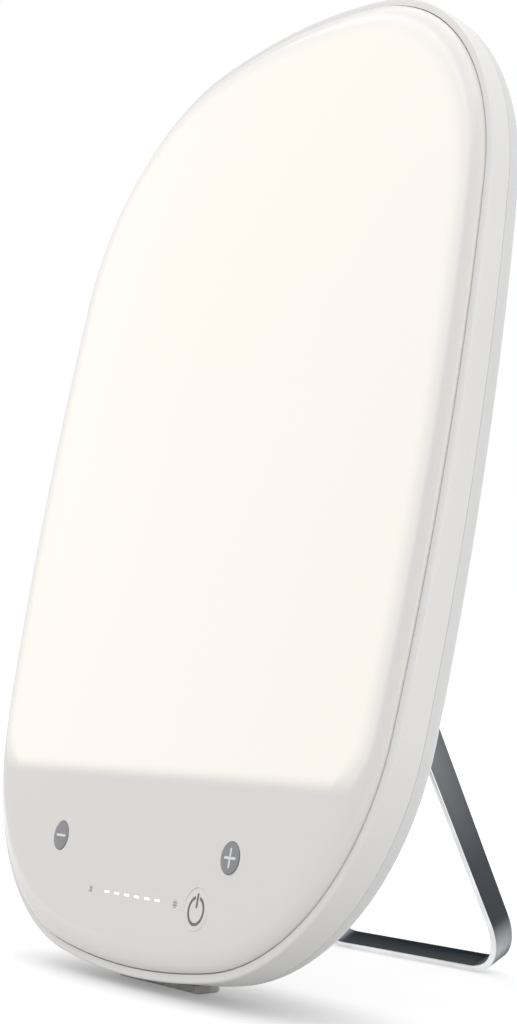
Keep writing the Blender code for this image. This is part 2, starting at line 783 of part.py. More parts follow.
def build_chassis(panel):
    mesh = plate("chassis_plate", [light_outline(SHEET_LAP)], CHASSIS_FRONT, CHASSIS_BACK)
    chassis = place(mesh, "chassis_plate", SHEET_METAL, panel)
    lips = []
    wings = []
    for side in (-1, 1):
        wing = side_band(-LIGHT_INSET, -WING_OFFSET)
        lip = side_band(-WING_OFFSET - LIP_THICKNESS, -WING_OFFSET)
        wings.append(plate("wing", [mirrored(wing, side)], CHASSIS_FRONT, CHASSIS_BACK))
        lips.append(plate("lip", [mirrored(lip, side)], GUIDE_FRONT,
                          (CHASSIS_FRONT + CHASSIS_BACK) / 2))
    join(chassis, guide(bundle("chassis_wings", wings), "chassis_wings", panel))
    join(chassis, guide(bundle("chassis_lips", lips), "chassis_lips", panel))


def build_strips(panel):
    low = GUIDE_FRONT + STRIP_MARGIN
    high = GUIDE_FRONT + GUIDE_THICKNESS - STRIP_MARGIN
    outer = -WING_OFFSET - LIP_THICKNESS - SEAT_GAP
    pitch = (STRIP_HIGH - STRIP_LOW) / LED_COUNT
    for side, name in ((-1, "led_strip_left"), (1, "led_strip_right")):
        band = side_band(outer - STRIP_THICKNESS, outer)
        strip = place(plate(name, [mirrored(band, side)], low, high), name, STRIP_BOARD, panel)
        leds = []
        for i in range(LED_COUNT):
            middle = STRIP_LOW + pitch / 2 + pitch * i
            root = side_x(outer - STRIP_THICKNESS / 2, middle)
            tip = side_x(outer - STRIP_THICKNESS - LED_HEIGHT, middle)
            near, far = sorted((side * root, side * tip))
            leds.append(block("led", (near, low + STRIP_MARGIN, middle - LED_LENGTH / 2),
                              (far, high - STRIP_MARGIN, middle + LED_LENGTH / 2)))
        join(strip, guide(bundle(name + "_leds", leds), name + "_leds", panel))


# Keys, light pipe and boards.

def build_keys(panel):
    for name, x, z, radius in key_places():
        face = SEAT_GAP - front_height(x, z) - KEY_PROUD
        under = SEAT_GAP - front_height(x, z) + COVER_WALL + SEAT_GAP
        bottom = SWITCH_TOP - KEY_SWITCH_GAP
        profile = (
            (0.0, 0.0),
            (radius - KEY_EDGE, 0.0),
            (radius, KEY_EDGE),
            (radius, under - face),
            (radius + KEY_FLANGE, under - face),
            (radius + KEY_FLANGE, under - face + KEY_FLANGE_THICKNESS),
            (STEM_RADIUS, under - face + KEY_FLANGE_THICKNESS),
            (STEM_RADIUS, bottom - face),
            (0.0, bottom - face),
        )
        material = COVER if name == "power" else KEY_GREY
        turned(name + "_key", profile, material, panel, (x, face, z))


def build_switches(panel):
    half = SWITCH_SIZE / 2
    low = SWITCH_TOP + SWITCH_PLUNGER_HEIGHT
    high = CONTROL_BOARD_FRONT - SEAT_GAP
    for name, x, z, radius in key_places():
        label = "tact_switch_" + name
        body = block(label, (x - half, low, z - half), (x + half, high, z + half))
        switch = place(body, label, SWITCH_BLACK, panel)
        plunger = rod("plunger", SWITCH_PLUNGER_RADIUS, SWITCH_TOP, (low + high) / 2, (x, z))
        join(switch, guide(plunger, label + "_plunger", panel))


def build_light_pipe(panel):
    face = SEAT_GAP - front_height(0.0, INDICATOR_HEIGHT_UP)
    under = face + COVER_WALL + SEAT_GAP
    half = indicator_places()[-1] + INDICATOR_WIDTH / 2 + PIPE_MARGIN
    rise = INDICATOR_HEIGHT / 2 + PIPE_MARGIN
    base = block("indicator_light_pipe", (-half, under, INDICATOR_HEIGHT_UP - rise),
                 (half, under + PIPE_THICKNESS, INDICATOR_HEIGHT_UP + rise))
    pipe = place(base, "indicator_light_pipe", CLEAR, panel)
    end = CONTROL_BOARD_FRONT - PIPE_LED_SIZE / 2 - PIPE_LED_GAP
    fingers = bundle("pipe_fingers", indicator_blocks(0.0, face + PIPE_DROP, end))
    join(pipe, guide(fingers, "pipe_fingers", panel))


def board_outline(width, low, high):
    half = width / 2
    return [(-half, low), (half, low), (half, high), (-half, high)]


def hole_outline(x, z, radius):
    step = FULL_TURN / SMALL_STEPS
    return [(x + radius * math.cos(step * i), z + radius * math.sin(step * i))
            for i in range(SMALL_STEPS)]


def build_boards(panel):
    radius = BOARD_SCREW_RADIUS + SEAT_GAP
    outlines = [board_outline(CONTROL_BOARD_WIDTH, CONTROL_BOARD_LOW, CONTROL_BOARD_HIGH)]
    outlines += [hole_outline(x, z, radius) for x, z in control_standoffs()]
    mesh = plate("control_board", outlines, CONTROL_BOARD_FRONT, CONTROL_BOARD_BACK)
    board = place(mesh, "control_board", BOARD_GREEN, panel)
    inside = (CONTROL_BOARD_FRONT + CONTROL_BOARD_BACK) / 2
    half = PIPE_LED_SIZE / 2
    leds = [block("led", (x - half, CONTROL_BOARD_FRONT - half, INDICATOR_HEIGHT_UP - half),
                  (x + half, inside, INDICATOR_HEIGHT_UP + half)) for x in indicator_places()]
    join(board, guide(bundle("indicator_leds", leds), "indicator_leds", panel))

    outlines = [board_outline(DRIVER_BOARD_WIDTH, DRIVER_BOARD_LOW, DRIVER_BOARD_HIGH)]
    outlines += [hole_outline(x, z, radius) for x, z in driver_standoffs()]
    mesh = plate("driver_board", outlines, DRIVER_BOARD_FRONT, DRIVER_BOARD_BACK)
    board = place(mesh, "driver_board", BOARD_GREEN, panel)
    inside = (DRIVER_BOARD_FRONT + DRIVER_BOARD_BACK) / 2
    pieces = [block("link", (LINK_PLACE - LINK_WIDTH / 2, CONTROL_BOARD_BACK + SEAT_GAP,
                             INLET_HEIGHT - LINK_HEIGHT / 2),
                    (LINK_PLACE + LINK_WIDTH / 2, inside, INLET_HEIGHT + LINK_HEIGHT / 2))]
    tall = DRIVER_BOARD_HIGH - DRIVER_BOARD_LOW
    for across, along, wide, high, deep in DRIVER_PART_SHARES:
        x = across * DRIVER_BOARD_WIDTH / 2
        z = DRIVER_BOARD_LOW + along * tall
        half = wide * DRIVER_BOARD_WIDTH / 2
        rise = high * tall / 2
        back = DRIVER_BOARD_BACK + deep * DRIVER_PART_DEPTH
        pieces.append(block("part", (x - half, inside, z - rise), (x + half, back, z + rise)))
    join(board, guide(bundle("driver_parts", pieces), "driver_parts", panel))


def build_board_screws(panel):
    profile = screw_profile(BOARD_SCREW_RADIUS, BOARD_SCREW_HEAD, BOARD_SCREW_RADIUS,
                            BOARD_SCREW_LENGTH)
    seat = CONTROL_BOARD_BACK + SEAT_GAP
    for i, (x, z) in enumerate(control_standoffs()):
        turned(f"control_board_screw_{i + 1}", profile, SCREW_STEEL, panel, (x, seat, z),
               steps=SCREW_STEPS)
    flipped = [(radius, -height) for radius, height in reversed(profile)]
    seat = DRIVER_BOARD_FRONT - SEAT_GAP
    for i, (x, z) in enumerate(driver_standoffs()):
        turned(f"driver_board_screw_{i + 1}", flipped, SCREW_STEEL, panel, (x, seat, z),
               steps=SCREW_STEPS)


def build_inlet(panel):
    x, z = INLET_PLACE, INLET_HEIGHT
    half = INLET_BODY / 2
    front = DRIVER_BOARD_BACK + SEAT_GAP
    end = back_depth(z) - INLET_SINK
    body = block("dc_inlet", (x - half, front, z - half),
                 (x + half, front + INLET_BODY_DEPTH, z + half))
    inlet = place(body, "dc_inlet", SWITCH_BLACK, panel)
    barrel = rod("barrel", INLET_RADIUS, front + INLET_BODY_DEPTH / 2, end, (x, z),
                 steps=ROUND_STEPS)
    join(inlet, guide(barrel, "inlet_barrel", panel))
    bore = rod("bore", INLET_BORE, end - INLET_BORE_DEPTH, end + OVERRUN, (x, z),
               steps=ROUND_STEPS)
    cut(inlet, guide(bore, "inlet_bore", panel))
    pin = rod("pin", INLET_PIN, end - INLET_BORE_DEPTH - SEAT_GAP, end - INLET_PIN, (x, z))
    join(inlet, guide(pin, "inlet_pin", panel))


def lead(name, route, parent):
    """A round lead along a list of points."""
    curve = bpy.data.curves.new(name, "CURVE")
    curve.dimensions = "3D"
    curve.bevel_depth = LEAD_RADIUS
    curve.bevel_resolution = 1
    curve.use_fill_caps = True
    spline = curve.splines.new("POLY")
    spline.points.add(len(route) - 1)
    for knot, point in zip(spline.points, route):
        knot.co = (*point, 1.0)
    curve.materials.append(LEAD_BLACK)
    part = bpy.data.objects.new(name, curve)
    part.parent = parent
    PARTS.objects.link(part)


def build_leads(panel):
    strip_inset = -WING_OFFSET - LIP_THICKNESS - SEAT_GAP - STRIP_THICKNESS / 2
    start = (DRIVER_BOARD_WIDTH / 2 + LEAD_START_GAP, DRIVER_BOARD_BACK + LEAD_START_LIFT,
             DRIVER_BOARD_HIGH - LEAD_START_DROP)
    end = (side_x(strip_inset, STRIP_LOW), GUIDE_FRONT + GUIDE_THICKNESS / 2,
           STRIP_LOW - LEAD_RADIUS - SEAT_GAP)
    points = [start]
    for shares in LEAD_SHARES:
        points.append([a + (b - a) * share for a, b, share in zip(start, end, shares)])
    points.append(end)
    for side, name in ((-1, "led_lead_left"), (1, "led_lead_right")):
        mirrored_points = [(side * x, y, z) for x, y, z in points]
        lead(name, smooth_route(mirrored_points, LEAD_STEPS), panel)


# Stand, hinges and foot.

def circle_points(y, z, radius):
    step = FULL_TURN / ROUND_STEPS
    return [(y + radius * math.cos(step * i), z + radius * math.sin(step * i))
            for i in range(ROUND_STEPS)]


def stop_place():
    """Centre of the stop pin in the bracket frame, as (y, z) from the hinge axis."""
    angle = LEAN + TILT - WEDGE
    out = leg_half_width(STOP_DISTANCE) + STOP_RADIUS + SEAT_GAP
    return (STOP_DISTANCE * math.sin(angle) + out * math.cos(angle),
            out * math.sin(angle) - STOP_DISTANCE * math.cos(angle))


def sided(side, near, far):
    return sorted((side * near, side * far))


def build_bracket(side, name, frame):
    seat = SEAT_GAP - PIVOT_STANDOFF * math.cos(WEDGE)
    low, high = sided(side, EAR_INNER, EAR_OUTER)
    stop_y, stop_z = stop_place()
    shape = circle_points(0.0, 0.0, EAR_RADIUS)
    shape += circle_points(stop_y, stop_z, STOP_RADIUS + STOP_EAR_MARGIN)
    shape += [(seat, BASE_HALF_HEIGHT), (seat, -BASE_HALF_HEIGHT),
              (seat + BASE_THICKNESS, BASE_HALF_HEIGHT),
              (seat + BASE_THICKNESS, -BASE_HALF_HEIGHT)]
    shape = [shape[i] for i in convex_hull_2d(shape)]
    bracket = place(plate(name, [shape], low, high, plane="yz"), name, BRACKET_STEEL, frame)
    near, far = sided(side, BASE_INNER, EAR_OUTER - EAR_THICKNESS / 2)
    base = block("base", (near, seat, -BASE_HALF_HEIGHT),
                 (far, seat + BASE_THICKNESS, BASE_HALF_HEIGHT))
    join(bracket, guide(base, name + "_base", frame))
    near, far = sided(side, EAR_OUTER - EAR_THICKNESS / 2, STAND_HALF_WIDTH)
    stop = rod("stop", STOP_RADIUS, near, far, (stop_y, stop_z), axis="x")
    join(bracket, guide(stop, name + "_stop", frame))
    near, far = sided(side, EAR_INNER - OVERRUN, EAR_OUTER + OVERRUN)
    holes = [rod("hole", PIN_RADIUS + SEAT_GAP, near, far, axis="x")]
    for z in (-BRACKET_SCREW_OFFSET, BRACKET_SCREW_OFFSET):
        holes.append(rod("hole", SCREW_SHAFT_RADIUS + SEAT_GAP, seat - OVERRUN,
                         seat + BASE_THICKNESS + OVERRUN, (side * BRACKET_SCREW_X, z)))
    cut(bracket, guide(bundle(name + "_holes", holes), name + "_holes", frame))
    profile = screw_profile(SCREW_SHAFT_RADIUS, BRACKET_HEAD_RADIUS, BRACKET_HEAD_HEIGHT,
                            BRACKET_SCREW_LENGTH)
    for i, z in enumerate((-BRACKET_SCREW_OFFSET, BRACKET_SCREW_OFFSET)):
        turned(f"{name.replace('bracket', 'screw')}_{i + 1}", profile, SCREW_STEEL, frame,
               (side * BRACKET_SCREW_X, seat + BASE_THICKNESS + SEAT_GAP, z),
               steps=SMALL_STEPS)


def build_hinge(side, suffix, frame):
    build_bracket(side, "hinge_bracket_" + suffix, frame)
    inner = EAR_INNER - SEAT_GAP
    outer = STAND_HALF_WIDTH + SEAT_GAP
    reach = outer - inner
    pin = (
        (0.0, -PIN_HEAD_THICKNESS),
        (PIN_HEAD_RADIUS, -PIN_HEAD_THICKNESS),
        (PIN_HEAD_RADIUS, 0.0),
        (PIN_RADIUS, 0.0),
        (PIN_RADIUS, reach),
        (PIN_HEAD_RADIUS, reach),
        (PIN_HEAD_RADIUS, reach + PIN_HEAD_THICKNESS / 2),
        (PIN_HEAD_RADIUS - PIN_HEAD_THICKNESS / 2, reach + PIN_HEAD_THICKNESS),
        (0.0, reach + PIN_HEAD_THICKNESS),
    )
    pin = [(radius, side * height) for radius, height in pin]
    turned("hinge_pin_" + suffix, pin, PIN_STEEL, frame, (side * inner, 0.0, 0.0), axis="x")
    start = EAR_OUTER + SEAT_GAP
    hole = PIN_RADIUS + SEAT_GAP
    washer = ((hole, 0.0), (WASHER_RADIUS, 0.0), (WASHER_RADIUS, WASHER_THICKNESS),
              (hole, WASHER_THICKNESS), (hole, 0.0))
    washer = [(radius, side * height) for radius, height in washer]
    turned("friction_washer_" + suffix, washer, WASHER_NYLON, frame,
           (side * start, 0.0, 0.0), axis="x", steps=WASHER_STEPS)


def leg_half_width(distance):
    """Half of the bar's width at a distance from the hinge: the legs taper to the bends."""
    share = min(1.0, distance / (STAND_LENGTH - STAND_CORNER))
    return (BAR_WIDTH + (BAR_FOOT_WIDTH - BAR_WIDTH) * share) / 2


def stand_stations():
    """Places from one eye round to the other: x, z, heading and half of the bar's width."""
    half = STAND_HALF_WIDTH - BAR_THICKNESS / 2
    drop = STAND_LENGTH - BAR_THICKNESS / 2
    radius = STAND_CORNER - BAR_THICKNESS / 2
    eye = leg_half_width(0.0)
    first = []
    for step in range(EYE_STEPS):
        turn = QUARTER_TURN * (step + EYE_FLAT_SHARE) / (EYE_STEPS + EYE_FLAT_SHARE)
        first.append((half, eye * math.cos(turn), 0.0, eye * math.sin(turn)))
    first.append((half, 0.0, 0.0, eye))
    for step in range(STAND_CORNER_STEPS + 1):
        turn = QUARTER_TURN * step / STAND_CORNER_STEPS
        first.append((half - radius + radius * math.cos(turn),
                      radius - drop - radius * math.sin(turn), turn,
                      leg_half_width(STAND_LENGTH)))
    return first + [(-x, z, math.pi - turn, width) for x, z, turn, width in reversed(first)]


def bar_section(half_width):
    """Chamfered section of the bar: across its wide face, then through its thickness."""
    thick = BAR_THICKNESS / 2
    reach = half_width - BAR_EDGE
    rise = thick - BAR_EDGE
    return ((half_width, rise), (reach, thick), (-reach, thick), (-half_width, rise),
            (-half_width, -rise), (-reach, -thick), (reach, -thick), (half_width, -rise))


def build_stand(frame):
    rings = []
    for x, z, turn, half_width in stand_stations():
        rings.append([(x + out * math.cos(turn), across, z - out * math.sin(turn))
                      for across, out in bar_section(half_width)])
    stand = place(loft("stand_bar", rings), "stand_bar", STAND_STEEL, frame)
    reach = STAND_HALF_WIDTH + OVERRUN
    eye = rod("eye", PIN_RADIUS + RUNNING_GAP, -reach, reach, axis="x", steps=ROUND_STEPS)
    cut(stand, guide(eye, "stand_eye", frame))


def lowest_point():
    """Depth and height, in the panel frame, of the housing's lowest line when it leans."""
    places = []
    for points in frame_rings() + shell_rings(0.0, REAR_STEPS):
        x, y, z = min(points, key=lambda point: point[2])
        places.append((y, z))
    return min(places, key=lambda p: p[1] * math.cos(TILT) - p[0] * math.sin(TILT))


def build_foot(root, panel):
    mesh = block("rubber_foot", (-FOOT_HALF_LENGTH, -FOOT_FRONT, 0.0),
                 (FOOT_HALF_LENGTH, FOOT_BACK, FOOT_HEIGHT + FOOT_WRAP))
    foot = place(mesh, "rubber_foot", RUBBER, root)
    soften = foot.modifiers.new("edges", "BEVEL")
    soften.width = FOOT_EDGE
    soften.segments = 2
    soften.limit_method = "ANGLE"
    soften.angle_limit = SHARP_ANGLE
    rings = [
        ring(LEDGE_WIDTH + SEAT_GAP, -OVERRUN),
        ring(LEDGE_WIDTH + SEAT_GAP, LEDGE_EDGE),
        ring(RIM_OFFSET + SEAT_GAP, PARTING_DEPTH, wedge=True),
    ]
    rings += shell_rings(-SEAT_GAP, REAR_STEPS)[1:]
    cut(foot, guide(loft("foot_seat", rings), "foot_seat", panel))


# The stand's length puts its lower front edge on the floor.

def stand_length(panel_rise):
    pivot_depth = back_depth(PIVOT_HEIGHT) + PIVOT_STANDOFF
    pivot_rise = (panel_rise + PIVOT_HEIGHT * math.cos(TILT) - pivot_depth * math.sin(TILT))
    half = BAR_FOOT_WIDTH / 2
    corner = (half - BAR_EDGE) * math.sin(LEAN)
    bevelled = half * math.sin(LEAN) - BAR_EDGE * math.cos(LEAN)
    return (pivot_rise - max(corner, bevelled)) / math.cos(LEAN)


low_depth, low_height = lowest_point()
PANEL_RISE = (FOOT_HEIGHT + SEAT_GAP + low_depth * math.sin(TILT)
              - low_height * math.cos(TILT))
PANEL_SHIFT = -low_height * math.sin(TILT) - low_depth * math.cos(TILT)
STAND_LENGTH = stand_length(PANEL_RISE)

clear_scene()
PARTS = new_collection("light_therapy_lamp")
CUTTERS = new_collection("cutters")

COVER = make_material("opal_cover", (0.87, 0.86, 0.83), 0.35)
HOUSING = make_material("white_housing", (0.84, 0.84, 0.82), 0.38)
SHELL = make_material("white_back_shell", (0.80, 0.80, 0.78), 0.42)
FOAM = make_material("seal_foam", (0.10, 0.10, 0.10), 0.90)
OPAL = make_material("opal_sheet", (0.92, 0.92, 0.90), 0.60)
CLEAR = make_material("clear_acrylic", (0.90, 0.93, 0.94), 0.08)
WHITE_FILM = make_material("white_film", (0.95, 0.95, 0.95), 0.45)
SHEET_METAL = make_material("chassis_aluminium", (0.75, 0.76, 0.77), 0.35, 1.0)
STRIP_BOARD = make_material("strip_board", (0.90, 0.90, 0.86), 0.50)
KEY_GREY = make_material("key_grey", (0.30, 0.30, 0.30), 0.45)
SWITCH_BLACK = make_material("switch_black", (0.03, 0.03, 0.03), 0.45)
BOARD_GREEN = make_material("board_green", (0.03, 0.18, 0.08), 0.40)
LEAD_BLACK = make_material("lead_black", (0.04, 0.04, 0.04), 0.55)
SCREW_STEEL = make_material("screw_steel", (0.55, 0.55, 0.55), 0.30, 1.0)
BRACKET_STEEL = make_material("bracket_steel", (0.22, 0.23, 0.24), 0.32, 1.0)
PIN_STEEL = make_material("pin_steel", (0.62, 0.62, 0.62), 0.25, 1.0)
WASHER_NYLON = make_material("washer_nylon", (0.86, 0.86, 0.82), 0.50)
STAND_STEEL = make_material("stand_steel", (0.20, 0.21, 0.22), 0.24, 1.0)
RUBBER = make_material("foot_rubber", (0.05, 0.05, 0.05), 0.80)

root = make_empty("lamp_root", None)
panel = make_empty("panel_frame", root, (0.0, PANEL_SHIFT, PANEL_RISE), -TILT)
hinge_place = (0.0, back_depth(PIVOT_HEIGHT) + PIVOT_STANDOFF, PIVOT_HEIGHT)
brackets = make_empty("bracket_frame", panel, hinge_place, WEDGE)
swing = make_empty("stand_frame", panel, hinge_place, TILT + LEAN)

build_front_cover(panel)
build_gasket(panel)
build_frame(panel)
build_shell(panel)
build_case_screws(panel)
build_sheets(panel)
build_chassis(panel)
build_strips(panel)
build_keys(panel)
build_switches(panel)
build_light_pipe(panel)
build_boards(panel)
build_board_screws(panel)
build_inlet(panel)
build_leads(panel)
build_hinge(-1, "left", brackets)
build_hinge(1, "right", brackets)
build_stand(swing)
build_foot(root, panel)
bpy.context.view_layer.update()
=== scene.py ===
# Looks for a light therapy lamp: a slim leaning light panel on a folding flat-bar stand.
# Every length is in metres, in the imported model's own frame.

import math

import bmesh
import bpy
from mathutils import Matrix, Vector


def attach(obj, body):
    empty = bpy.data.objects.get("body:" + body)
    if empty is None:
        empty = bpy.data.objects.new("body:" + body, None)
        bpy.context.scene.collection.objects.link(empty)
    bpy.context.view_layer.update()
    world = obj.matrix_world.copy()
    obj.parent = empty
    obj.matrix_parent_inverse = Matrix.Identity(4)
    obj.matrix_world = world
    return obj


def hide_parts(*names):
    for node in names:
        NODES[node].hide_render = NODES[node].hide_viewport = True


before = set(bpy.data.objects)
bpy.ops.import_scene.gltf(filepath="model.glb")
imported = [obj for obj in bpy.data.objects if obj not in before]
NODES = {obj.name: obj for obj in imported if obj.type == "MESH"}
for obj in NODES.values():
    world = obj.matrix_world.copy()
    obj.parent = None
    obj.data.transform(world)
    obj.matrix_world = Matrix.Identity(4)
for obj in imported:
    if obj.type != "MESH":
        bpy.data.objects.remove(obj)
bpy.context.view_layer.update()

# Camera, matched to the photograph.
CAMERA_PLACE = (0.63541, -0.39131, 0.11532)
CAMERA_AZIMUTH = 55.59
CAMERA_PITCH = 5.13
CAMERA_LENS = 66.92
CAMERA_SENSOR = 36.0
CAMERA_CLIP = (0.01, 50.0)

# The panel's own frame: x across, y towards the back, z up the panel.
PANEL_TILT = 11.95
PANEL_ORIGIN = (0.0, 0.0228466, 0.1904075)

# Panel outline: radius and sweep of the arcs down one side. A fifth arc closes the bottom.
OUTLINE_TOP = 0.2007
OUTLINE_ARCS = ((0.3270, 9.92), (0.1008, 75.8), (1.1840, 9.6), (0.0986, 76.1))
OUTLINE_STEPS = (8, 26, 14, 26, 8)
SIDE_ARC = 2

# Fits and steps that all pieces share. CAP_SHARE places a ring inside a flat round end.
SEAT_GAP = 0.0003
CUT_MARGIN = 0.0020
ANGLE_SLACK = 0.00001
SHARP_ANGLE = math.radians(34)
QUARTER = math.radians(90)
CORNER_SIGNS = ((1, 1), (-1, 1), (-1, -1), (1, -1))
SIDES = ((-1, "left"), (1, "right"))
ROUND_STEPS = 64
POST_STEPS = 24
CAP_SHARE = 0.5

# Front cover.
COVER_WALL = 0.0022
PILLOW_HEIGHT = 0.00465
PILLOW_WIDTH = 0.0170
PILLOW_EXPONENT = 2.6
PILLOW_STEPS = 16
PILLOW_INNER_STEPS = 6
DOME_HEIGHT = 0.0025
DOME_SHARES = (0.92, 0.82, 0.70, 0.58, 0.46, 0.34, 0.22, 0.10)
HOLE_GAP = 0.00003

# Housing frame and back shell.
LEDGE_WIDTH = 0.00355
LEDGE_EDGE = 0.0009
LEDGE_STEPS = 5
WALL_DRAFT = 0.0007
FRAME_WALL = 0.0022
PARTING_DEPTH = 0.0106
PARTING_EDGE = 0.0001
PARTING_GAP = 0.00008
WEDGE = math.radians(0.85)
WEB_FRONT = 0.0019
WEB_THICKNESS = 0.0018
REAR_RADIUS = 0.0095
REAR_STEPS = 12
REAR_INNER_STEPS = 6
SHELL_WALL = 0.0022
LIGHT_INSET = 0.0118
CONTROL_ZONE = 0.0732
LIGHT_CORNER = 0.0220
LIGHT_CORNER_STEPS = 16
POST_RADIUS = 0.0028
POST_INSET = 0.0072
POST_END_GAP = 0.0007
POST_HEADINGS = (0.0, 50.0, 130.0, 180.0, -130.0, -50.0)
COUNTERBORE_DEPTH = 0.0014
CHASSIS_BACK = 0.0115
PILLAR_RADIUS = 0.0025
PILLAR_SHARES = ((0.299, 0.623), (0.458, 0.100), (0.299, -0.473))

# Screws: the shares are of the shaft's radius, the head's radius or height, or the recess.
SCREW_RADIUS = 0.0013
SCREW_LENGTH = 0.0085
HEAD_RADIUS = 0.0027
HEAD_HEIGHT = 0.0010
SCREW_STEPS = 48
POINT_SHARE = 0.4
HEAD_SEAT_SHARE = 0.94
HEAD_BRIM_SHARE = 0.2
CROWN_STEPS = 4
CROWN_SHARE = 0.55
CROWN_MARGIN_SHARE = 1.2
LOBE_COUNT = 6
LOBE_SHARE = 0.52
LOBE_TOP_SHARE = 0.14
LOBE_BOTTOM_SHARE = 0.13
RECESS_TAPER_SHARE = 0.94
RECESS_DEPTH_SHARE = 0.85

# Control zone: the rises are shares of its height, above the bottom of the outline.
KEY_SPACING = 0.0627
KEY_RISE_SHARE = 0.616
KEY_RADIUS = 0.0060
KEY_FLANGE = 0.0012
KEY_FLANGE_THICKNESS = 0.0008
KEY_PROUD = 0.0002
KEY_EDGE = 0.0003
KEY_EDGE_SHARES = (0.5, 0.13)
KEY_RIM_SHARE = 1.2
STEM_RADIUS = 0.0030
STEM_GAP = 0.0005
KEY_BOTTOM = 0.0034
POWER_PLACE = 0.0459
POWER_RISE_SHARE = 0.347
POWER_RADIUS = 0.0078
POWER_EDGE = 0.00003
INDICATOR_RISE_SHARE = 0.355
INDICATOR_PITCH = 0.0075
INDICATOR_COUNT = 6
INDICATOR_WIDTH = 0.0040
INDICATOR_HEIGHT = 0.0013
DASH_WIDTH = 0.0038
DASH_HEIGHT = 0.0008
COMB_OVERHANG = 0.0060
COMB_HEIGHT = 0.0073
COMB_THICKNESS = 0.0010
COMB_END_GAP = 0.0016
COMB_STEPS = 6
BOARD_FRONT = 0.0068
CONTROL_BOARD_WIDTH = 0.1420
CONTROL_BOARD_SHARES = (0.212, 0.765)
DRIVER_BOARD_WIDTH = 0.1100
DRIVER_BOARD_SHARES = (0.260, 0.861)
DRIVER_BACK = 0.0120
STANDOFF_RADIUS = 0.0026
STANDOFF_INSET = 0.0045
BOARD_SCREW_RADIUS = 0.0010
BOARD_SCREW_COUNT = 4
INLET_PLACE = 0.0340
INLET_RISE_SHARE = 0.505
INLET_RADIUS = 0.0046

# Signs on the keys and beside the indicators.
SIGN_HEIGHT = 0.00006
SIGN_SINK = 0.00010
SIGN_BAR = 0.0074
SIGN_STROKE = 0.0010
SIGN_STEPS = 40
POWER_RING = 0.0049
POWER_STROKE = 0.0011
POWER_GAP_ANGLE = 34.0
POWER_BAR_LOW = 0.0009
POWER_BAR_HIGH = 0.0064
POWER_SIGN_DROP = 0.0006
ICONS = ((-1, "dim_icon", 4), (1, "bright_icon", 8))
ICON_PLACE = 0.0314
ICON_SIZE = 0.0016
ICON_RING_SHARE = 0.42
ICON_STROKE_SHARE = 0.22
ICON_GAP_ANGLE = 1.0
ICON_STEPS = 16
RAY_REACH_SHARE = 0.86
RAY_SHARE = 0.3
RAY_STEPS = 3

# Stand and hinges.
STAND_LEAN = 25.5
STAND_HALF_WIDTH = 0.0660
STAND_CORNER = 0.0240
STAND_LENGTH = 0.17237
STAND_CORNER_STEPS = 20
LEG_SHARES = (0.2, 0.4, 0.6, 0.8, 1.0)
BAR_WIDTH = 0.0128
BAR_FOOT_WIDTH = 0.0102
BAR_THICKNESS = 0.0026
BAR_EDGE = 0.0005
BAR_EDGE_STEPS = 3
EYE_STEPS = 12
EYE_START = 0.35
EYE_END_SHARE = 1.2
PIVOT_HEIGHT = -0.0267
PIVOT_STANDOFF = 0.0114
PIN_RADIUS = 0.0020
PIN_STEPS = 32
RUNNING_GAP = 0.00008
PIN_HEAD_RADIUS = 0.0033
PIN_HEAD_THICKNESS = 0.0012
PIN_BEVEL_SHARE = 0.4
PIN_BRIM_SHARE = 0.35
PIN_DOME_STEPS = 6
EAR_INNER = 0.0604
BRACKET_SCREW_X = 0.0538
BRACKET_SCREW_OFFSET = 0.0075
BRACKET_SCREW_LENGTH = 0.0070
BRACKET_HEAD_RADIUS = 0.0024
BRACKET_HEAD_HEIGHT = 0.0014
BASE_THICKNESS = 0.0016
BOSS_RADIUS = 0.0034
BOSS_HEIGHT = 0.0050

# The cover and its glow. Soft edges are lengths, and corners are counted in soft edges.
PRINTED_GREY = (0.795, 0.770, 0.743)
COVER_ROUGHNESS = 0.30
COVER_COAT = 0.5
COVER_COAT_ROUGHNESS = 0.10
COVER_DRIFT_SCALE = 9.0
COVER_DRIFT_SHARES = (0.99, 1.01)
COVER_WARMTH_SCALE = 5.0
COVER_GRAIN_SCALE = 1600.0
GLOW_EDGE = 0.0088
GLOW_SOFT = 0.0045
GLOW_BOTTOM_SOFT = 0.0036
GLOW_CORNER = 4.4
GLOW_STRENGTH = 0.652
GLOW_BASE = (0.16, 0.16, 0.15)
GLOW_WARM = (1.0, 0.945, 0.865)
GLOW_COOL = (1.0, 0.958, 0.895)
TAIL_EDGE = 0.0046
TAIL_SOFT = 0.0012
TAIL_CORNER = 5.0
TAIL_STRENGTH = 0.12

# Grain of the materials: scales are per metre, depths are lengths, shares vary a value.
NOISE_RANGE = (0.3, 0.7)
DRIFT_SCALE = 14.0
DRIFT_SHARES = (0.985, 1.012)
GLOSS_SCALE = 60.0
GLOSS_SHARES = (0.93, 1.07)
MOULD_SCALE = 1400.0
MOULD_DEPTH = 0.000008
COAT_ROUGHNESS = 0.08
DRAW_TONE_SHARES = (0.90, 1.10)
DRAW_GLOSS_SHARES = (0.85, 1.2)
DRAW_DEPTH = 0.000006
BAR_DRAW = (6.0, 900.0, 1.0)
BAR_DRAW_TONES = ((0.9, 0.9, 0.9), (1.0, 1.0, 1.0))
BAR_DRAW_DEPTH = 0.000005
BAR_GLINT = (0.2, 0.21, 0.22)
RUBBER_ROUGHNESS = 0.78
RUBBER_SHARES = (0.8, 1.3)
RUBBER_SCALES = (220.0, 2600.0)
RUBBER_DEPTH = 0.00002
BOARD_ROUGHNESS = 0.35
TRACK_SCALE = 220.0
TRACK_WIDTH = 0.03
TRACK_SHADE_SHARE = 0.8
TRACK_DEPTH = 0.00003
WINDOW_ROUGHNESS = 0.35
WINDOW_PATCH_SCALE = 700.0
WINDOW_PATCH_SHARE = 0.92
ACRYLIC_ROUGHNESS = 0.06
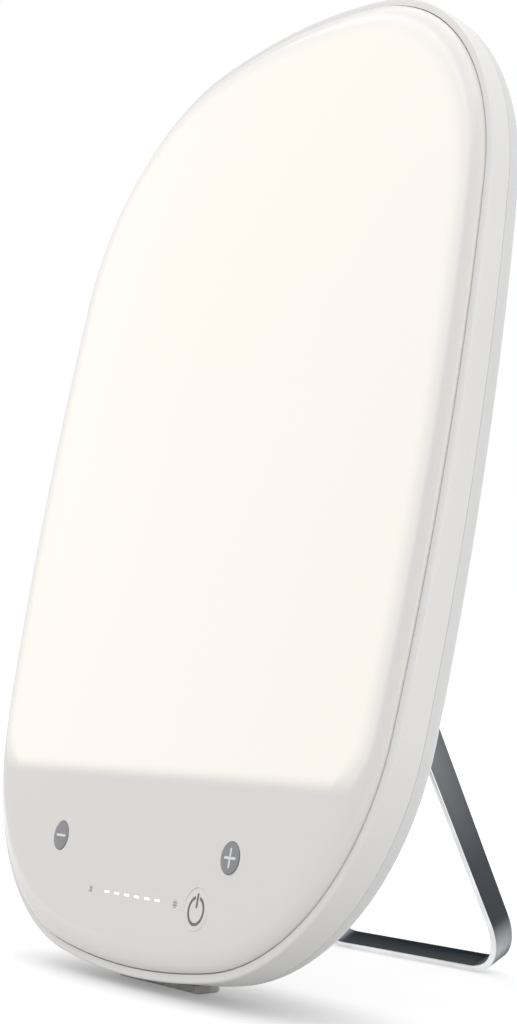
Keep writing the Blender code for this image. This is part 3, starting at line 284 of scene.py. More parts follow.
ACRYLIC_CLARITY = 0.85
ACRYLIC_IOR = 1.49
ACRYLIC_RIPPLE_SCALE = 300.0
POLISH_DEPTH = 0.000004

# Painted reflection along the bar, from one eye to its middle by share of its length: lighter
# at the eye, darker down the leg, a bright painted highlight at the bend and dark across the
# crossbar. The rest mirrors it.
BAR_PAINTED_REFLECTIONS = (
    (0.02, (0.20, 0.204, 0.21)), (0.18, (0.15, 0.154, 0.162)), (0.28, (0.062, 0.065, 0.076)),
    (0.335, (0.055, 0.058, 0.062)), (0.365, (0.62, 0.63, 0.64)), (0.385, (0.62, 0.63, 0.64)),
    (0.405, (0.105, 0.111, 0.116)),
)

# Studio. Lights: name, place, target, side and power.
FLOOR_HALF = 6.0
FLOOR_STEPS = 12
FLOOR_DROP = 0.0001
FLOOR_COLOUR = (0.58, 0.58, 0.58)
FLOOR_ROUGHNESS = 0.9
FLOOR_GLOSS = 0.1
FLOOR_LIFT = 0.54
WORLD_LEVEL = 0.84
LIGHTS = (
    ("left_softbox", (-0.5, -0.4, 2.0), (0.0, 0.0, 0.1), 1.8, 10.0),
    ("right_fill", (2.0, 0.1, 0.5), (0.0, 0.0, 0.2), 1.7, 9.0),
)

# The floor's own light, as fades that add up: scale and shift across, the two reaches
# between which it rises, and its level at each. The first is lower near the lamp, which
# paints a shadow on the floor round its foot over the real one; the second makes the floor
# white in the distance.
FLOOR_GLOW_AND_PAINTED_SHADOW = (
    (0.22, 0.020, (0.008, 0.040), (0.20, FLOOR_LIFT)),
    (1.0, 0.0, (0.30, 0.90), (0.0, 1.0 - FLOOR_LIFT)),
)

TILT = math.radians(PANEL_TILT)
LEAN = math.radians(STAND_LEAN)
RIM_OFFSET = LEDGE_WIDTH - WALL_DRAFT
WEB_BACK = WEB_FRONT + WEB_THICKNESS
BACK_DEPTH = PARTING_DEPTH + SEAT_GAP + REAR_RADIUS
PANEL = Matrix.Translation(PANEL_ORIGIN) @ Matrix.Rotation(-TILT, 4, "X")
ALONG_Y = Matrix.Rotation(-QUARTER, 4, "X")
ALONG_X = Matrix.Rotation(QUARTER, 4, "Y")


# Mesh helpers.

def quarter_turns(steps, first=0):
    """Angles through a quarter circle in equal steps."""
    return [QUARTER * step / steps for step in range(first, steps + 1)]


def finish_mesh(builder, name, matrix=PANEL):
    """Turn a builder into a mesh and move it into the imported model's frame."""
    mesh = bpy.data.meshes.new(name)
    bmesh.ops.recalc_face_normals(builder, faces=builder.faces)
    bmesh.ops.transform(builder, matrix=matrix, verts=builder.verts)
    builder.normal_update()
    builder.to_mesh(mesh)
    builder.free()
    return mesh


def add_object(name, data):
    item = bpy.data.objects.new(name, data)
    bpy.context.scene.collection.objects.link(item)
    return item


def add_piece(builder, name, materials, body, nodes=(), matrix=PANEL):
    """Make a piece that rides on a body and stands for CAD nodes."""
    mesh = finish_mesh(builder, name, matrix)
    piece = add_object(name, mesh)
    for material in materials:
        mesh.materials.append(material)
    mesh.shade_smooth()
    mesh.set_sharp_from_angle(angle=SHARP_ANGLE)
    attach(piece, body)
    if nodes:
        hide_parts(*nodes)
    return piece


def add_loft(builder, rings, uv=None):
    """Skin rings of points and cap both ends. uv gives (u, v) from ring, place and point."""
    layer = builder.loops.layers.uv.verify()
    loops = [[builder.verts.new(point) for point in points] for points in rings]
    faces = []
    count = len(loops[0])
    for first, second in zip(loops, loops[1:]):
        for i in range(count):
            j = (i + 1) % count
            faces.append(builder.faces.new((first[i], first[j], second[j], second[i])))
    faces.append(builder.faces.new(reversed(loops[0])))
    faces.append(builder.faces.new(loops[-1]))
    if uv:
        places = {vert: uv(row, column, vert.co) for row, loop in enumerate(loops)
                  for column, vert in enumerate(loop)}
        for face in faces:
            for corner in face.loops:
                corner[layer].uv = places[corner.vert]
    return faces


def add_rod(builder, radius, low, high, centre, steps=POST_STEPS):
    """A cylinder along the panel's depth."""
    made = bmesh.ops.create_cone(builder, cap_ends=True, segments=steps, radius1=radius,
                                 radius2=radius, depth=high - low)
    shift = Matrix.Translation((centre[0], (low + high) / 2, centre[1]))
    bmesh.ops.transform(builder, matrix=shift @ ALONG_Y, verts=made["verts"])


def add_back_rods(builder, places, radius, low, high, steps=POST_STEPS):
    """Cylinders along the depth, with both ends counted from the back at each place."""
    for place in places:
        back = back_depth(place[1])
        add_rod(builder, radius, back + low, back + high, place, steps)


def rounded_box(centre, reach, radius, steps):
    """Points round a box with round corners. reach runs from its centre to theirs."""
    points = []
    for corner, (side_x, side_z) in enumerate(CORNER_SIGNS):
        for step in range(steps + 1):
            turn = QUARTER * (corner + step / steps)
            points.append((centre[0] + side_x * reach[0] + radius * math.cos(turn),
                           centre[1] + side_z * reach[1] + radius * math.sin(turn)))
    return points


def rounded_bar(x, z, width, height, steps=5):
    """Outline of a bar with round ends."""
    radius = min(width, height) / 2
    return rounded_box((x, z), (width / 2 - radius, height / 2 - radius), radius, steps)


def add_prism(builder, points, low, high):
    """Extrude an outline in the panel's plane from one depth to another."""
    add_loft(builder, [[(x, depth, z) for x, z in points] for depth in (low, high)])


def turned(profile, place, turn=ALONG_Y, steps=ROUND_STEPS):
    """Spin rows of radius and height. A third value in a row makes it lobed by that much."""
    rings = []
    for radius, height, *lobe in profile:
        wave = lobe[0] if lobe else 0.0
        points = []
        for i in range(steps):
            angle = math.tau * i / steps
            reach = radius + wave * math.cos(LOBE_COUNT * math.tau * i / steps)
            points.append((reach * math.cos(angle), reach * math.sin(angle), height))
        rings.append(points)
    builder = bmesh.new()
    add_loft(builder, rings)
    bmesh.ops.transform(builder, matrix=Matrix.Translation(place) @ turn, verts=builder.verts)
    return builder


def carve(piece, builder, operation="DIFFERENCE", matrix=PANEL):
    """Apply a Boolean between a piece and the shapes in a builder."""
    tool = add_object("tool", finish_mesh(builder, "tool", matrix))
    modifier = piece.modifiers.new("carve", "BOOLEAN")
    modifier.operation = operation
    modifier.solver = "EXACT"
    modifier.object = tool
    bpy.context.view_layer.update()
    graph = bpy.context.evaluated_depsgraph_get()
    result = bpy.data.meshes.new_from_object(piece.evaluated_get(graph))
    piece.modifiers.remove(modifier)
    old = piece.data
    piece.data = result
    result.name = piece.name
    bpy.data.meshes.remove(old)
    bpy.data.objects.remove(tool, do_unlink=True)


# Panel geometry.

def outline_arcs():
    """Centre, radius, first and last heading and steps of each arc down one side."""
    arcs = []
    x, z, heading = 0.0, OUTLINE_TOP, 0.0
    for index, steps in enumerate(OUTLINE_STEPS):
        if index < len(OUTLINE_ARCS):
            radius, sweep = OUTLINE_ARCS[index]
            turn = math.radians(sweep)
        else:
            radius = x / math.sin(heading)
            turn = math.pi - heading
        centre_x = x - radius * math.sin(heading)
        centre_z = z - radius * math.cos(heading)
        arcs.append((centre_x, centre_z, radius, heading, heading + turn, steps))
        heading += turn
        x = centre_x + radius * math.sin(heading)
        z = centre_z + radius * math.cos(heading)
    return arcs


ARCS = outline_arcs()
OUTLINE_BOTTOM = ARCS[-1][1] - ARCS[-1][2]
OUTLINE_MIDDLE = (OUTLINE_TOP + OUTLINE_BOTTOM) / 2
LIGHT_BOTTOM = OUTLINE_BOTTOM + CONTROL_ZONE


def outline(offset):
    """Points right round the panel, offset outwards."""
    half = [(0.0, ARCS[0][1] + ARCS[0][2] + offset)]
    for centre_x, centre_z, radius, first, last, steps in ARCS:
        for step in range(1, steps + 1):
            heading = first + (last - first) * step / steps
            half.append((centre_x + (radius + offset) * math.sin(heading),
                         centre_z + (radius + offset) * math.cos(heading)))
    half[-1] = (0.0, half[-1][1])
    return half + [(-x, z) for x, z in reversed(half[1:-1])]


def outline_point(heading_degrees, offset):
    """The outline's point at a heading from the top, offset outwards."""
    heading = math.radians(abs(heading_degrees))
    for centre_x, centre_z, radius, first, last, steps in ARCS:
        if heading <= last + ANGLE_SLACK:
            break
    x = centre_x + (radius + offset) * math.sin(heading)
    z = centre_z + (radius + offset) * math.cos(heading)
    return (math.copysign(x, heading_degrees) if heading_degrees else 0.0, z)


def side_x(offset, height):
    centre_x, centre_z, radius = ARCS[SIDE_ARC][:3]
    return centre_x + math.sqrt((radius + offset) ** 2 - (height - centre_z) ** 2)


def back_depth(height):
    return BACK_DEPTH - math.tan(WEDGE) * height


def zone_height(share):
    """Height up the panel at a share of the control zone."""
    return OUTLINE_BOTTOM + share * CONTROL_ZONE


def ring(offset, depth, wedge=False):
    """The outline at a depth, which follows the wedge of the back where asked."""
    slope = math.tan(WEDGE) if wedge else 0.0
    return [(x, depth - slope * z, z) for x, z in outline(offset)]


def light_outline():
    """The window that the light shines through, with round lower corners."""
    clear = LIGHT_BOTTOM + LIGHT_CORNER + PILLOW_HEIGHT
    upper = [(x, z) for x, z in outline(-LIGHT_INSET) if z > clear]
    side = side_x(-LIGHT_INSET, LIGHT_BOTTOM + LIGHT_CORNER)
    corner = [(side - LIGHT_CORNER + LIGHT_CORNER * math.cos(turn),
               LIGHT_BOTTOM + LIGHT_CORNER - LIGHT_CORNER * math.sin(turn))
              for turn in quarter_turns(LIGHT_CORNER_STEPS)]
    right = [point for point in upper if point[0] > 0]
    left = [point for point in upper if point[0] < 0]
    middle = [point for point in upper if point[0] == 0]
    return middle + right + corner + [(-x, z) for x, z in reversed(corner)] + left


def front_height(x, z):
    """How far the domed cover stands in front of its seat."""
    bearing = math.atan2(x, z - OUTLINE_MIDDLE)
    rim = [(math.atan2(px, pz - OUTLINE_MIDDLE), math.hypot(px, pz - OUTLINE_MIDDLE))
           for px, pz in outline(-PILLOW_WIDTH)]
    nearest = min(rim, key=lambda item: abs(item[0] - bearing))
    share = math.hypot(x, z - OUTLINE_MIDDLE) / nearest[1]
    return PILLOW_HEIGHT + DOME_HEIGHT * (1 - share ** 2)


def board_corners(width, shares):
    x = width / 2 - STANDOFF_INSET
    low, high = shares
    heights = (zone_height(low) + STANDOFF_INSET, zone_height(high) - STANDOFF_INSET)
    return [(side * x, z) for z in heights for side in (-1, 1)]


POSTS = [outline_point(heading, -POST_INSET) for heading in POST_HEADINGS]
CONTROL_CORNERS = board_corners(CONTROL_BOARD_WIDTH, CONTROL_BOARD_SHARES)
DRIVER_CORNERS = board_corners(DRIVER_BOARD_WIDTH, DRIVER_BOARD_SHARES)
BRACKET_SCREWS = [(side * BRACKET_SCREW_X, PIVOT_HEIGHT + step * BRACKET_SCREW_OFFSET)
                  for side in (-1, 1) for step in (-1, 1)]
KEYS = (
    ("minus", -KEY_SPACING, zone_height(KEY_RISE_SHARE), KEY_RADIUS),
    ("plus", KEY_SPACING, zone_height(KEY_RISE_SHARE), KEY_RADIUS),
    ("power", POWER_PLACE, zone_height(POWER_RISE_SHARE), POWER_RADIUS),
)
INDICATORS = [(i - (INDICATOR_COUNT - 1) / 2) * INDICATOR_PITCH
              for i in range(INDICATOR_COUNT)]
INDICATOR_Z = zone_height(INDICATOR_RISE_SHARE)
INDICATOR_SPAN = INDICATORS[-1] - INDICATORS[0] + INDICATOR_WIDTH
PIVOT_DEPTH = back_depth(PIVOT_HEIGHT) + PIVOT_STANDOFF
PIVOT = PANEL @ Matrix.Translation((0.0, PIVOT_DEPTH, PIVOT_HEIGHT))


# Material helpers.

def add_node(tree, kind, **settings):
    node = tree.nodes.new(kind)
    for key, value in settings.items():
        setattr(node, key, value)
    return node


def feed(tree, socket, value):
    """Link an output to a socket, or set a number, a vector or a colour there."""
    if isinstance(value, bpy.types.NodeSocket):
        tree.links.new(value, socket)
    elif socket.type == "RGBA":
        socket.default_value = (*value, 1.0)
    else:
        socket.default_value = value


def new_material(name, colour, roughness, metallic=0.0):
    material = bpy.data.materials.new(name)
    material.use_nodes = True
    tree = material.node_tree
    shader = tree.nodes["Principled BSDF"]
    shader.inputs["Base Color"].default_value = (*colour, 1.0)
    shader.inputs["Roughness"].default_value = roughness
    shader.inputs["Metallic"].default_value = metallic
    material.diffuse_color = (*colour, 1.0)
    return material, tree, shader


def coordinates(tree, source="Object", scale=(1.0, 1.0, 1.0), shift=(0.0, 0.0, 0.0)):
    """Texture coordinates, scaled and then shifted."""
    coords = add_node(tree, "ShaderNodeTexCoord")
    mapping = add_node(tree, "ShaderNodeMapping")
    feed(tree, mapping.inputs["Vector"], coords.outputs[source])
    feed(tree, mapping.inputs["Scale"], scale)
    feed(tree, mapping.inputs["Location"], shift)
    return mapping.outputs["Vector"]


def uv_parts(tree):
    """The two values that the piece's UV map holds."""
    parts = add_node(tree, "ShaderNodeSeparateXYZ")
    feed(tree, parts.inputs["Vector"], coordinates(tree, "UV"))
    return parts.outputs["X"], parts.outputs["Y"]


def noise(tree, scale, detail=2.0, stretch=(1.0, 1.0, 1.0), source="Object"):
    """Noise on the piece's own coordinates, stretched where asked."""
    texture = add_node(tree, "ShaderNodeTexNoise")
    feed(tree, texture.inputs["Scale"], scale)
    feed(tree, texture.inputs["Detail"], detail)
    feed(tree, texture.inputs["Vector"], coordinates(tree, source, stretch))
    return texture.outputs["Fac"]


def map_range(tree, value, source, target=(0.0, 1.0), kind="LINEAR"):
    """Map a value from one range onto another and hold it there."""
    node = add_node(tree, "ShaderNodeMapRange", interpolation_type=kind)
    for name, limit in zip(("From Min", "From Max", "To Min", "To Max"), (*source, *target)):
        feed(tree, node.inputs[name], limit)
    feed(tree, node.inputs["Value"], value)
    return node.outputs["Result"]


def spread(tree, value, low=0.0, high=1.0):
    """Map a noise value's usual range onto low to high."""
    return map_range(tree, value, NOISE_RANGE, (low, high))


def maths(tree, operation, *values):
    node = add_node(tree, "ShaderNodeMath", operation=operation)
    for socket, value in zip(node.inputs, values):
        feed(tree, socket, value)
    return node.outputs["Value"]


def tint(tree, factor, first, second, blend="MIX"):
    """Mix two colours, each a value or an output, by a factor from 0 to 1."""
    node = add_node(tree, "ShaderNodeMix", data_type="RGBA", blend_type=blend)
    colours = {socket.name: socket for socket in node.inputs if socket.type == "RGBA"}
    feed(tree, node.inputs["Factor"], factor)
    feed(tree, colours["A"], first)
    feed(tree, colours["B"], second)
    return next(out for out in node.outputs if out.type == "RGBA")


def bump(tree, shader, value, height):
    node = add_node(tree, "ShaderNodeBump")
    feed(tree, node.inputs["Strength"], 1.0)
    feed(tree, node.inputs["Distance"], height)
    feed(tree, node.inputs["Height"], value)
    feed(tree, shader.inputs["Normal"], node.outputs["Normal"])


def scaled(colour, factor):
    return tuple(min(1.0, channel * factor) for channel in colour)


def varied(tree, value, colour, shares):
    """A colour that varies between two shares of itself as a noise value varies."""
    return tint(tree, spread(tree, value), *(scaled(colour, share) for share in shares))


def varied_gloss(tree, shader, value, roughness, shares):
    gloss = spread(tree, value, *(roughness * share for share in shares))
    feed(tree, shader.inputs["Roughness"], gloss)


# Kinds of material.

def moulded_plastic(name, colour, roughness, grain=MOULD_SCALE, coat=0.0):
    """Moulded plastic: a fine spark-eroded grain, faint colour drift and patchy gloss."""
    material, tree, shader = new_material(name, colour, roughness)
    drift = noise(tree, DRIFT_SCALE, detail=3.0)
    feed(tree, shader.inputs["Base Color"], varied(tree, drift, colour, DRIFT_SHARES))
    varied_gloss(tree, shader, noise(tree, GLOSS_SCALE, detail=4.0), roughness,
                 GLOSS_SHARES)
    bump(tree, shader, noise(tree, grain), MOULD_DEPTH)
    shader.inputs["Coat Weight"].default_value = coat
    shader.inputs["Coat Roughness"].default_value = COAT_ROUGHNESS
    return material


def drawn_metal(name, colour, roughness, stretch, source="Object"):
    """Metal with fine draw lines along one direction."""
    material, tree, shader = new_material(name, colour, roughness, 1.0)
    lines = noise(tree, 1.0, 4.0, stretch, source)
    feed(tree, shader.inputs["Base Color"], varied(tree, lines, colour, DRAW_TONE_SHARES))
    varied_gloss(tree, shader, lines, roughness, DRAW_GLOSS_SHARES)
    bump(tree, shader, lines, DRAW_DEPTH)
    return material


def bar_metal_painted_reflection(name, roughness):
    """Dark satin steel, drawn along the bar, its colour painted with reflections and a
    highlight down its length; its UV map holds shares of the bar's length.
    """
    end_reflection = BAR_PAINTED_REFLECTIONS[0][1]
    material, tree, shader = new_material(name, end_reflection, roughness, 1.0)
    # The ramp paints reflection along the bar: darker down the legs, a bright painted
    # highlight at each bend.
    ramp = add_node(tree, "ShaderNodeValToRGB")
    stops = ramp.color_ramp.elements
    for share, colour in BAR_PAINTED_REFLECTIONS + tuple((1.0 - share, tone) for share, tone in BAR_PAINTED_REFLECTIONS):
        stops.new(share).color = (*colour, 1.0)
    for stop in (stops[0], stops[-1]):
        stop.color = (*end_reflection, 1.0)
    feed(tree, ramp.inputs["Fac"], uv_parts(tree)[0])
    lines = noise(tree, 1.0, 4.0, BAR_DRAW, "UV")
    draw = tint(tree, spread(tree, lines), *BAR_DRAW_TONES)
    reflection_and_draw = tint(tree, 1.0, ramp.outputs["Color"], draw, "MULTIPLY")
    feed(tree, shader.inputs["Base Color"], reflection_and_draw)
    shader.inputs["Specular Tint"].default_value = (*BAR_GLINT, 1.0)
    varied_gloss(tree, shader, lines, roughness, DRAW_GLOSS_SHARES)
    bump(tree, shader, lines, BAR_DRAW_DEPTH)
    return material


def rubber(name, colour):
    material, tree, shader = new_material(name, colour, RUBBER_ROUGHNESS)
    patch_scale, grain_scale = RUBBER_SCALES
    patches = noise(tree, patch_scale, detail=5.0)
    feed(tree, shader.inputs["Base Color"], varied(tree, patches, colour, RUBBER_SHARES))
    bump(tree, shader, noise(tree, grain_scale, detail=3.0), RUBBER_DEPTH)
    return material


def circuit_board(name, colour, copper):
    """Solder mask with lighter tracks where the copper lies under it."""
    material, tree, shader = new_material(name, colour, BOARD_ROUGHNESS)
    bricks = add_node(tree, "ShaderNodeTexBrick")
    shade = scaled(colour, TRACK_SHADE_SHARE)
    for socket, value in (("Vector", coordinates(tree)), ("Scale", TRACK_SCALE),
                          ("Color1", colour), ("Color2", shade), ("Mortar", copper),
                          ("Mortar Size", TRACK_WIDTH)):
        feed(tree, bricks.inputs[socket], value)
    feed(tree, shader.inputs["Base Color"], bricks.outputs["Color"])
    bump(tree, shader, bricks.outputs["Fac"], TRACK_DEPTH)
    return material


def window_mask(tree, inset, height, edge, edge_soft, corner):
    """1 inside the light window and 0 outside, with soft sides and round lower corners."""
    gaps = []
    for place, start, soft in ((inset, edge, edge_soft),
                               (height, LIGHT_BOTTOM, GLOW_BOTTOM_SOFT)):
        depth = maths(tree, "DIVIDE", maths(tree, "SUBTRACT", place, start), soft)
        gap = maths(tree, "MAXIMUM", maths(tree, "SUBTRACT", corner, depth), 0.0)
        gaps.append(maths(tree, "POWER", gap, 2.0))
    reach = maths(tree, "SQRT", maths(tree, "ADD", *gaps))
    return map_range(tree, maths(tree, "SUBTRACT", corner, reach), (-1.0, 1.0),
                     kind="SMOOTHSTEP")


def cover_material():
    """Opal front: it glows over the light and is printed pale grey round it.

    Its UV map holds the inset from the rim and the height up the panel.
    """
    material, tree, shader = new_material("opal_front", PRINTED_GREY, COVER_ROUGHNESS)
    inset, height = uv_parts(tree)
    glow = window_mask(tree, inset, height, GLOW_EDGE, GLOW_SOFT, GLOW_CORNER)
    tail = window_mask(tree, inset, height, TAIL_EDGE, TAIL_SOFT, TAIL_CORNER)
    drift = noise(tree, COVER_DRIFT_SCALE, detail=3.0)
    body = varied(tree, drift, PRINTED_GREY, COVER_DRIFT_SHARES)
    feed(tree, shader.inputs["Base Color"], tint(tree, glow, body, GLOW_BASE))
    warmth = spread(tree, noise(tree, COVER_WARMTH_SCALE, detail=1.0))
    feed(tree, shader.inputs["Emission Color"], tint(tree, warmth, GLOW_WARM, GLOW_COOL))
    strength = maths(tree, "ADD", maths(tree, "MULTIPLY", glow, GLOW_STRENGTH),
                     maths(tree, "MULTIPLY", tail, TAIL_STRENGTH))
    feed(tree, shader.inputs["Emission Strength"], strength)
    shader.inputs["Coat Weight"].default_value = COVER_COAT
    shader.inputs["Coat Roughness"].default_value = COVER_COAT_ROUGHNESS
    bump(tree, shader, noise(tree, COVER_GRAIN_SCALE), POLISH_DEPTH)
    return material


def glowing(name, colour, strength):
    """A small lit window with a faint patchiness."""
    material, tree, shader = new_material(name, colour, WINDOW_ROUGHNESS)
    shader.inputs["Emission Color"].default_value = (*colour, 1.0)
    patches = noise(tree, WINDOW_PATCH_SCALE)
    feed(tree, shader.inputs["Emission Strength"],
         spread(tree, patches, strength * WINDOW_PATCH_SHARE, strength))
    return material


def clear_acrylic(name, colour):
    """Clear plastic with the faint ripple of a polished sheet."""
    material, tree, shader = new_material(name, colour, ACRYLIC_ROUGHNESS)
    shader.inputs["Transmission Weight"].default_value = ACRYLIC_CLARITY
    shader.inputs["IOR"].default_value = ACRYLIC_IOR
    bump(tree, shader, noise(tree, ACRYLIC_RIPPLE_SCALE), POLISH_DEPTH)
    return material


# The lamp's materials: colour, roughness and the kind's own values.

COVER = cover_material()
HOUSING = moulded_plastic("satin_white_housing", (0.82, 0.812, 0.80), 0.34, coat=0.15)
SHELL = moulded_plastic("satin_white_shell", (0.75, 0.75, 0.745), 0.40)
KEY_FACE = moulded_plastic("satin_grey_key", (0.265, 0.265, 0.275), 0.38, grain=2200.0)
KEY_RIM = moulded_plastic("grey_key_rim", (0.16, 0.16, 0.17), 0.42, grain=2200.0)
POWER_FACE = moulded_plastic("power_key_opal", PRINTED_GREY, 0.30, coat=0.5)
SIGN_WHITE = moulded_plastic("sign_white", (0.80, 0.82, 0.84), 0.40)
SIGN_GREY = moulded_plastic("sign_grey", (0.15, 0.15, 0.15), 0.45)
ICON_GREY = moulded_plastic("icon_grey", (0.20, 0.20, 0.20), 0.45)
DASH_LIGHT = glowing("dash_light", (1.0, 1.0, 1.0), 0.85)
FOAM = rubber("seal_foam_dark", (0.16, 0.16, 0.16))
FOOT = rubber("foot_rubber_grey", (0.44, 0.44, 0.44))
LEAD = rubber("lead_sleeve", (0.05, 0.05, 0.05))
# Stand faces: dark steel whose colour along the bar is painted reflection and painted
# highlight.
STEEL_FACE_PAINTED_REFLECTION = bar_metal_painted_reflection("stand_face_steel_painted_reflection", 0.26)
STEEL_EDGE = drawn_metal("stand_edge_steel", (0.80, 0.81, 0.82), 0.22,
                         (40.0, 700.0, 1.0), source="UV")
BRACKET = drawn_metal("bracket_dark_nickel", (0.22, 0.23, 0.24), 0.34, (60.0, 60.0, 900.0))
PIN = drawn_metal("pin_bright", (0.60, 0.60, 0.61), 0.24, (500.0, 500.0, 500.0))
SCREW = drawn_metal("screw_zinc", (0.52, 0.53, 0.55), 0.30, (700.0, 700.0, 700.0))
ALUMINIUM = drawn_metal("chassis_mill_aluminium", (0.72, 0.73, 0.74), 0.38,
                        (900.0, 40.0, 40.0))
NYLON = moulded_plastic("washer_natural_nylon", (0.80, 0.80, 0.76), 0.50)
BLACK = moulded_plastic("switch_black_resin", (0.025, 0.025, 0.028), 0.42)
BOARD = circuit_board("board_solder_mask", (0.02, 0.15, 0.06), (0.08, 0.30, 0.14))
STRIP = circuit_board("strip_white_mask", (0.80, 0.80, 0.76), (0.66, 0.64, 0.55))
ACRYLIC = clear_acrylic("light_guide_acrylic", (0.95, 0.98, 0.98))
OPAL = moulded_plastic("opal_diffuser", (0.90, 0.90, 0.88), 0.55, grain=900.0)
FILM = moulded_plastic("reflector_film", (0.92, 0.92, 0.92), 0.35, grain=500.0)


# Front cover.

def cover_rings(inward, steps):
    """Rings of one skin of the cover, each with its inset: pillowed rim, then dome."""
    power = 2 / PILLOW_EXPONENT
    shares = [(0.0, 0.0)]
    for turn in quarter_turns(steps, 1)[:-1]:
        shares.append((1 - math.cos(turn) ** power, math.sin(turn) ** power))
    shares.append((1.0, 1.0))
    reach = PILLOW_WIDTH - inward
    rise = PILLOW_HEIGHT - inward
    rows = []
    for inset_share, height_share in shares:
        inset = inward + reach * inset_share
        rows.append((inset, ring(-inset, SEAT_GAP - rise * height_share)))
    rim = outline(-PILLOW_WIDTH)
    for share in DOME_SHARES:
        depth = SEAT_GAP - rise - DOME_HEIGHT * (1 - share ** 2)
        inset = PILLOW_WIDTH + (1 - share) * ARCS[SIDE_ARC][2]
        points = [(x * share, depth, OUTLINE_MIDDLE + (z - OUTLINE_MIDDLE) * share)
                  for x, z in rim]
        rows.append((inset, points))
    return rows


def make_cover():
    rows = list(reversed(cover_rings(COVER_WALL, PILLOW_INNER_STEPS)))
    rows += cover_rings(0.0, PILLOW_STEPS)
    builder = bmesh.new()
    add_loft(builder, [points for inset, points in rows],
             uv=lambda row, column, place: (rows[row][0], place[2]))
    cover = add_piece(builder, "front_cover_shell", [COVER], "panel", ["front_cover"])
    tool = bmesh.new()
    reach = PILLOW_HEIGHT + DOME_HEIGHT + CUT_MARGIN
    for name, x, z, radius in KEYS:
        add_rod(tool, radius + HOLE_GAP, -reach, reach, (x, z), ROUND_STEPS)
    for x in INDICATORS:
        bar = rounded_bar(x, INDICATOR_Z, DASH_WIDTH + HOLE_GAP, DASH_HEIGHT + HOLE_GAP)
        add_prism(tool, bar, -reach, reach)
    carve(cover, tool)


# Housing frame and back shell.

def make_frame():
    rings = [ring(SEAT_GAP, WEB_FRONT), ring(SEAT_GAP, 0.0)]
    for turn in quarter_turns(LEDGE_STEPS):
        rings.append(ring(LEDGE_WIDTH - LEDGE_EDGE + LEDGE_EDGE * math.sin(turn),
                          LEDGE_EDGE - LEDGE_EDGE * math.cos(turn)))
    rings += [
        ring(RIM_OFFSET, PARTING_DEPTH - PARTING_EDGE, wedge=True),
        ring(RIM_OFFSET - PARTING_EDGE, PARTING_DEPTH, wedge=True),
        ring(RIM_OFFSET - FRAME_WALL, PARTING_DEPTH, wedge=True),
        ring(RIM_OFFSET - FRAME_WALL, WEB_BACK),
    ]
    builder = bmesh.new()
    add_loft(builder, rings)
    piece = add_piece(builder, "housing_rim", [HOUSING], "panel", ["housing_frame"])
    root = (WEB_FRONT + WEB_BACK) / 2
    posts = bmesh.new()
    for x, z in POSTS:
        add_rod(posts, POST_RADIUS, root, back_depth(z) - SHELL_WALL - POST_END_GAP, (x, z))
    for place in CONTROL_CORNERS:
        add_rod(posts, STANDOFF_RADIUS, root, BOARD_FRONT - SEAT_GAP, place)
    carve(piece, posts, "UNION")
    window = bmesh.new()
    add_prism(window, light_outline(), 0.0, WEB_BACK + CUT_MARGIN)
    carve(piece, window)
    bores = bmesh.new()
    end = BOARD_FRONT + CUT_MARGIN
    add_back_rods(bores, POSTS, SCREW_RADIUS + SEAT_GAP, -SCREW_LENGTH - CUT_MARGIN, 0.0)
    for place in CONTROL_CORNERS:
        add_rod(bores, BOARD_SCREW_RADIUS + SEAT_GAP, root, end, place)
    for name, x, z, radius in KEYS:
        add_rod(bores, STEM_RADIUS + STEM_GAP, 0.0, end, (x, z))
    slot = rounded_bar(0.0, INDICATOR_Z, INDICATOR_SPAN + 2 * STEM_GAP,
                       INDICATOR_HEIGHT + 2 * STEM_GAP)
    add_prism(bores, slot, 0.0, end)
    carve(piece, bores)


def shell_rows(inward, steps):
    """Rings of one skin of the shell, from the parting line round to the flat back."""
    across = REAR_RADIUS - inward
    deep = BACK_DEPTH - PARTING_DEPTH - PARTING_GAP - inward
    return [ring(RIM_OFFSET - REAR_RADIUS + across * math.cos(turn),
                 PARTING_DEPTH + PARTING_GAP + deep * math.sin(turn), wedge=True)
            for turn in quarter_turns(steps)]


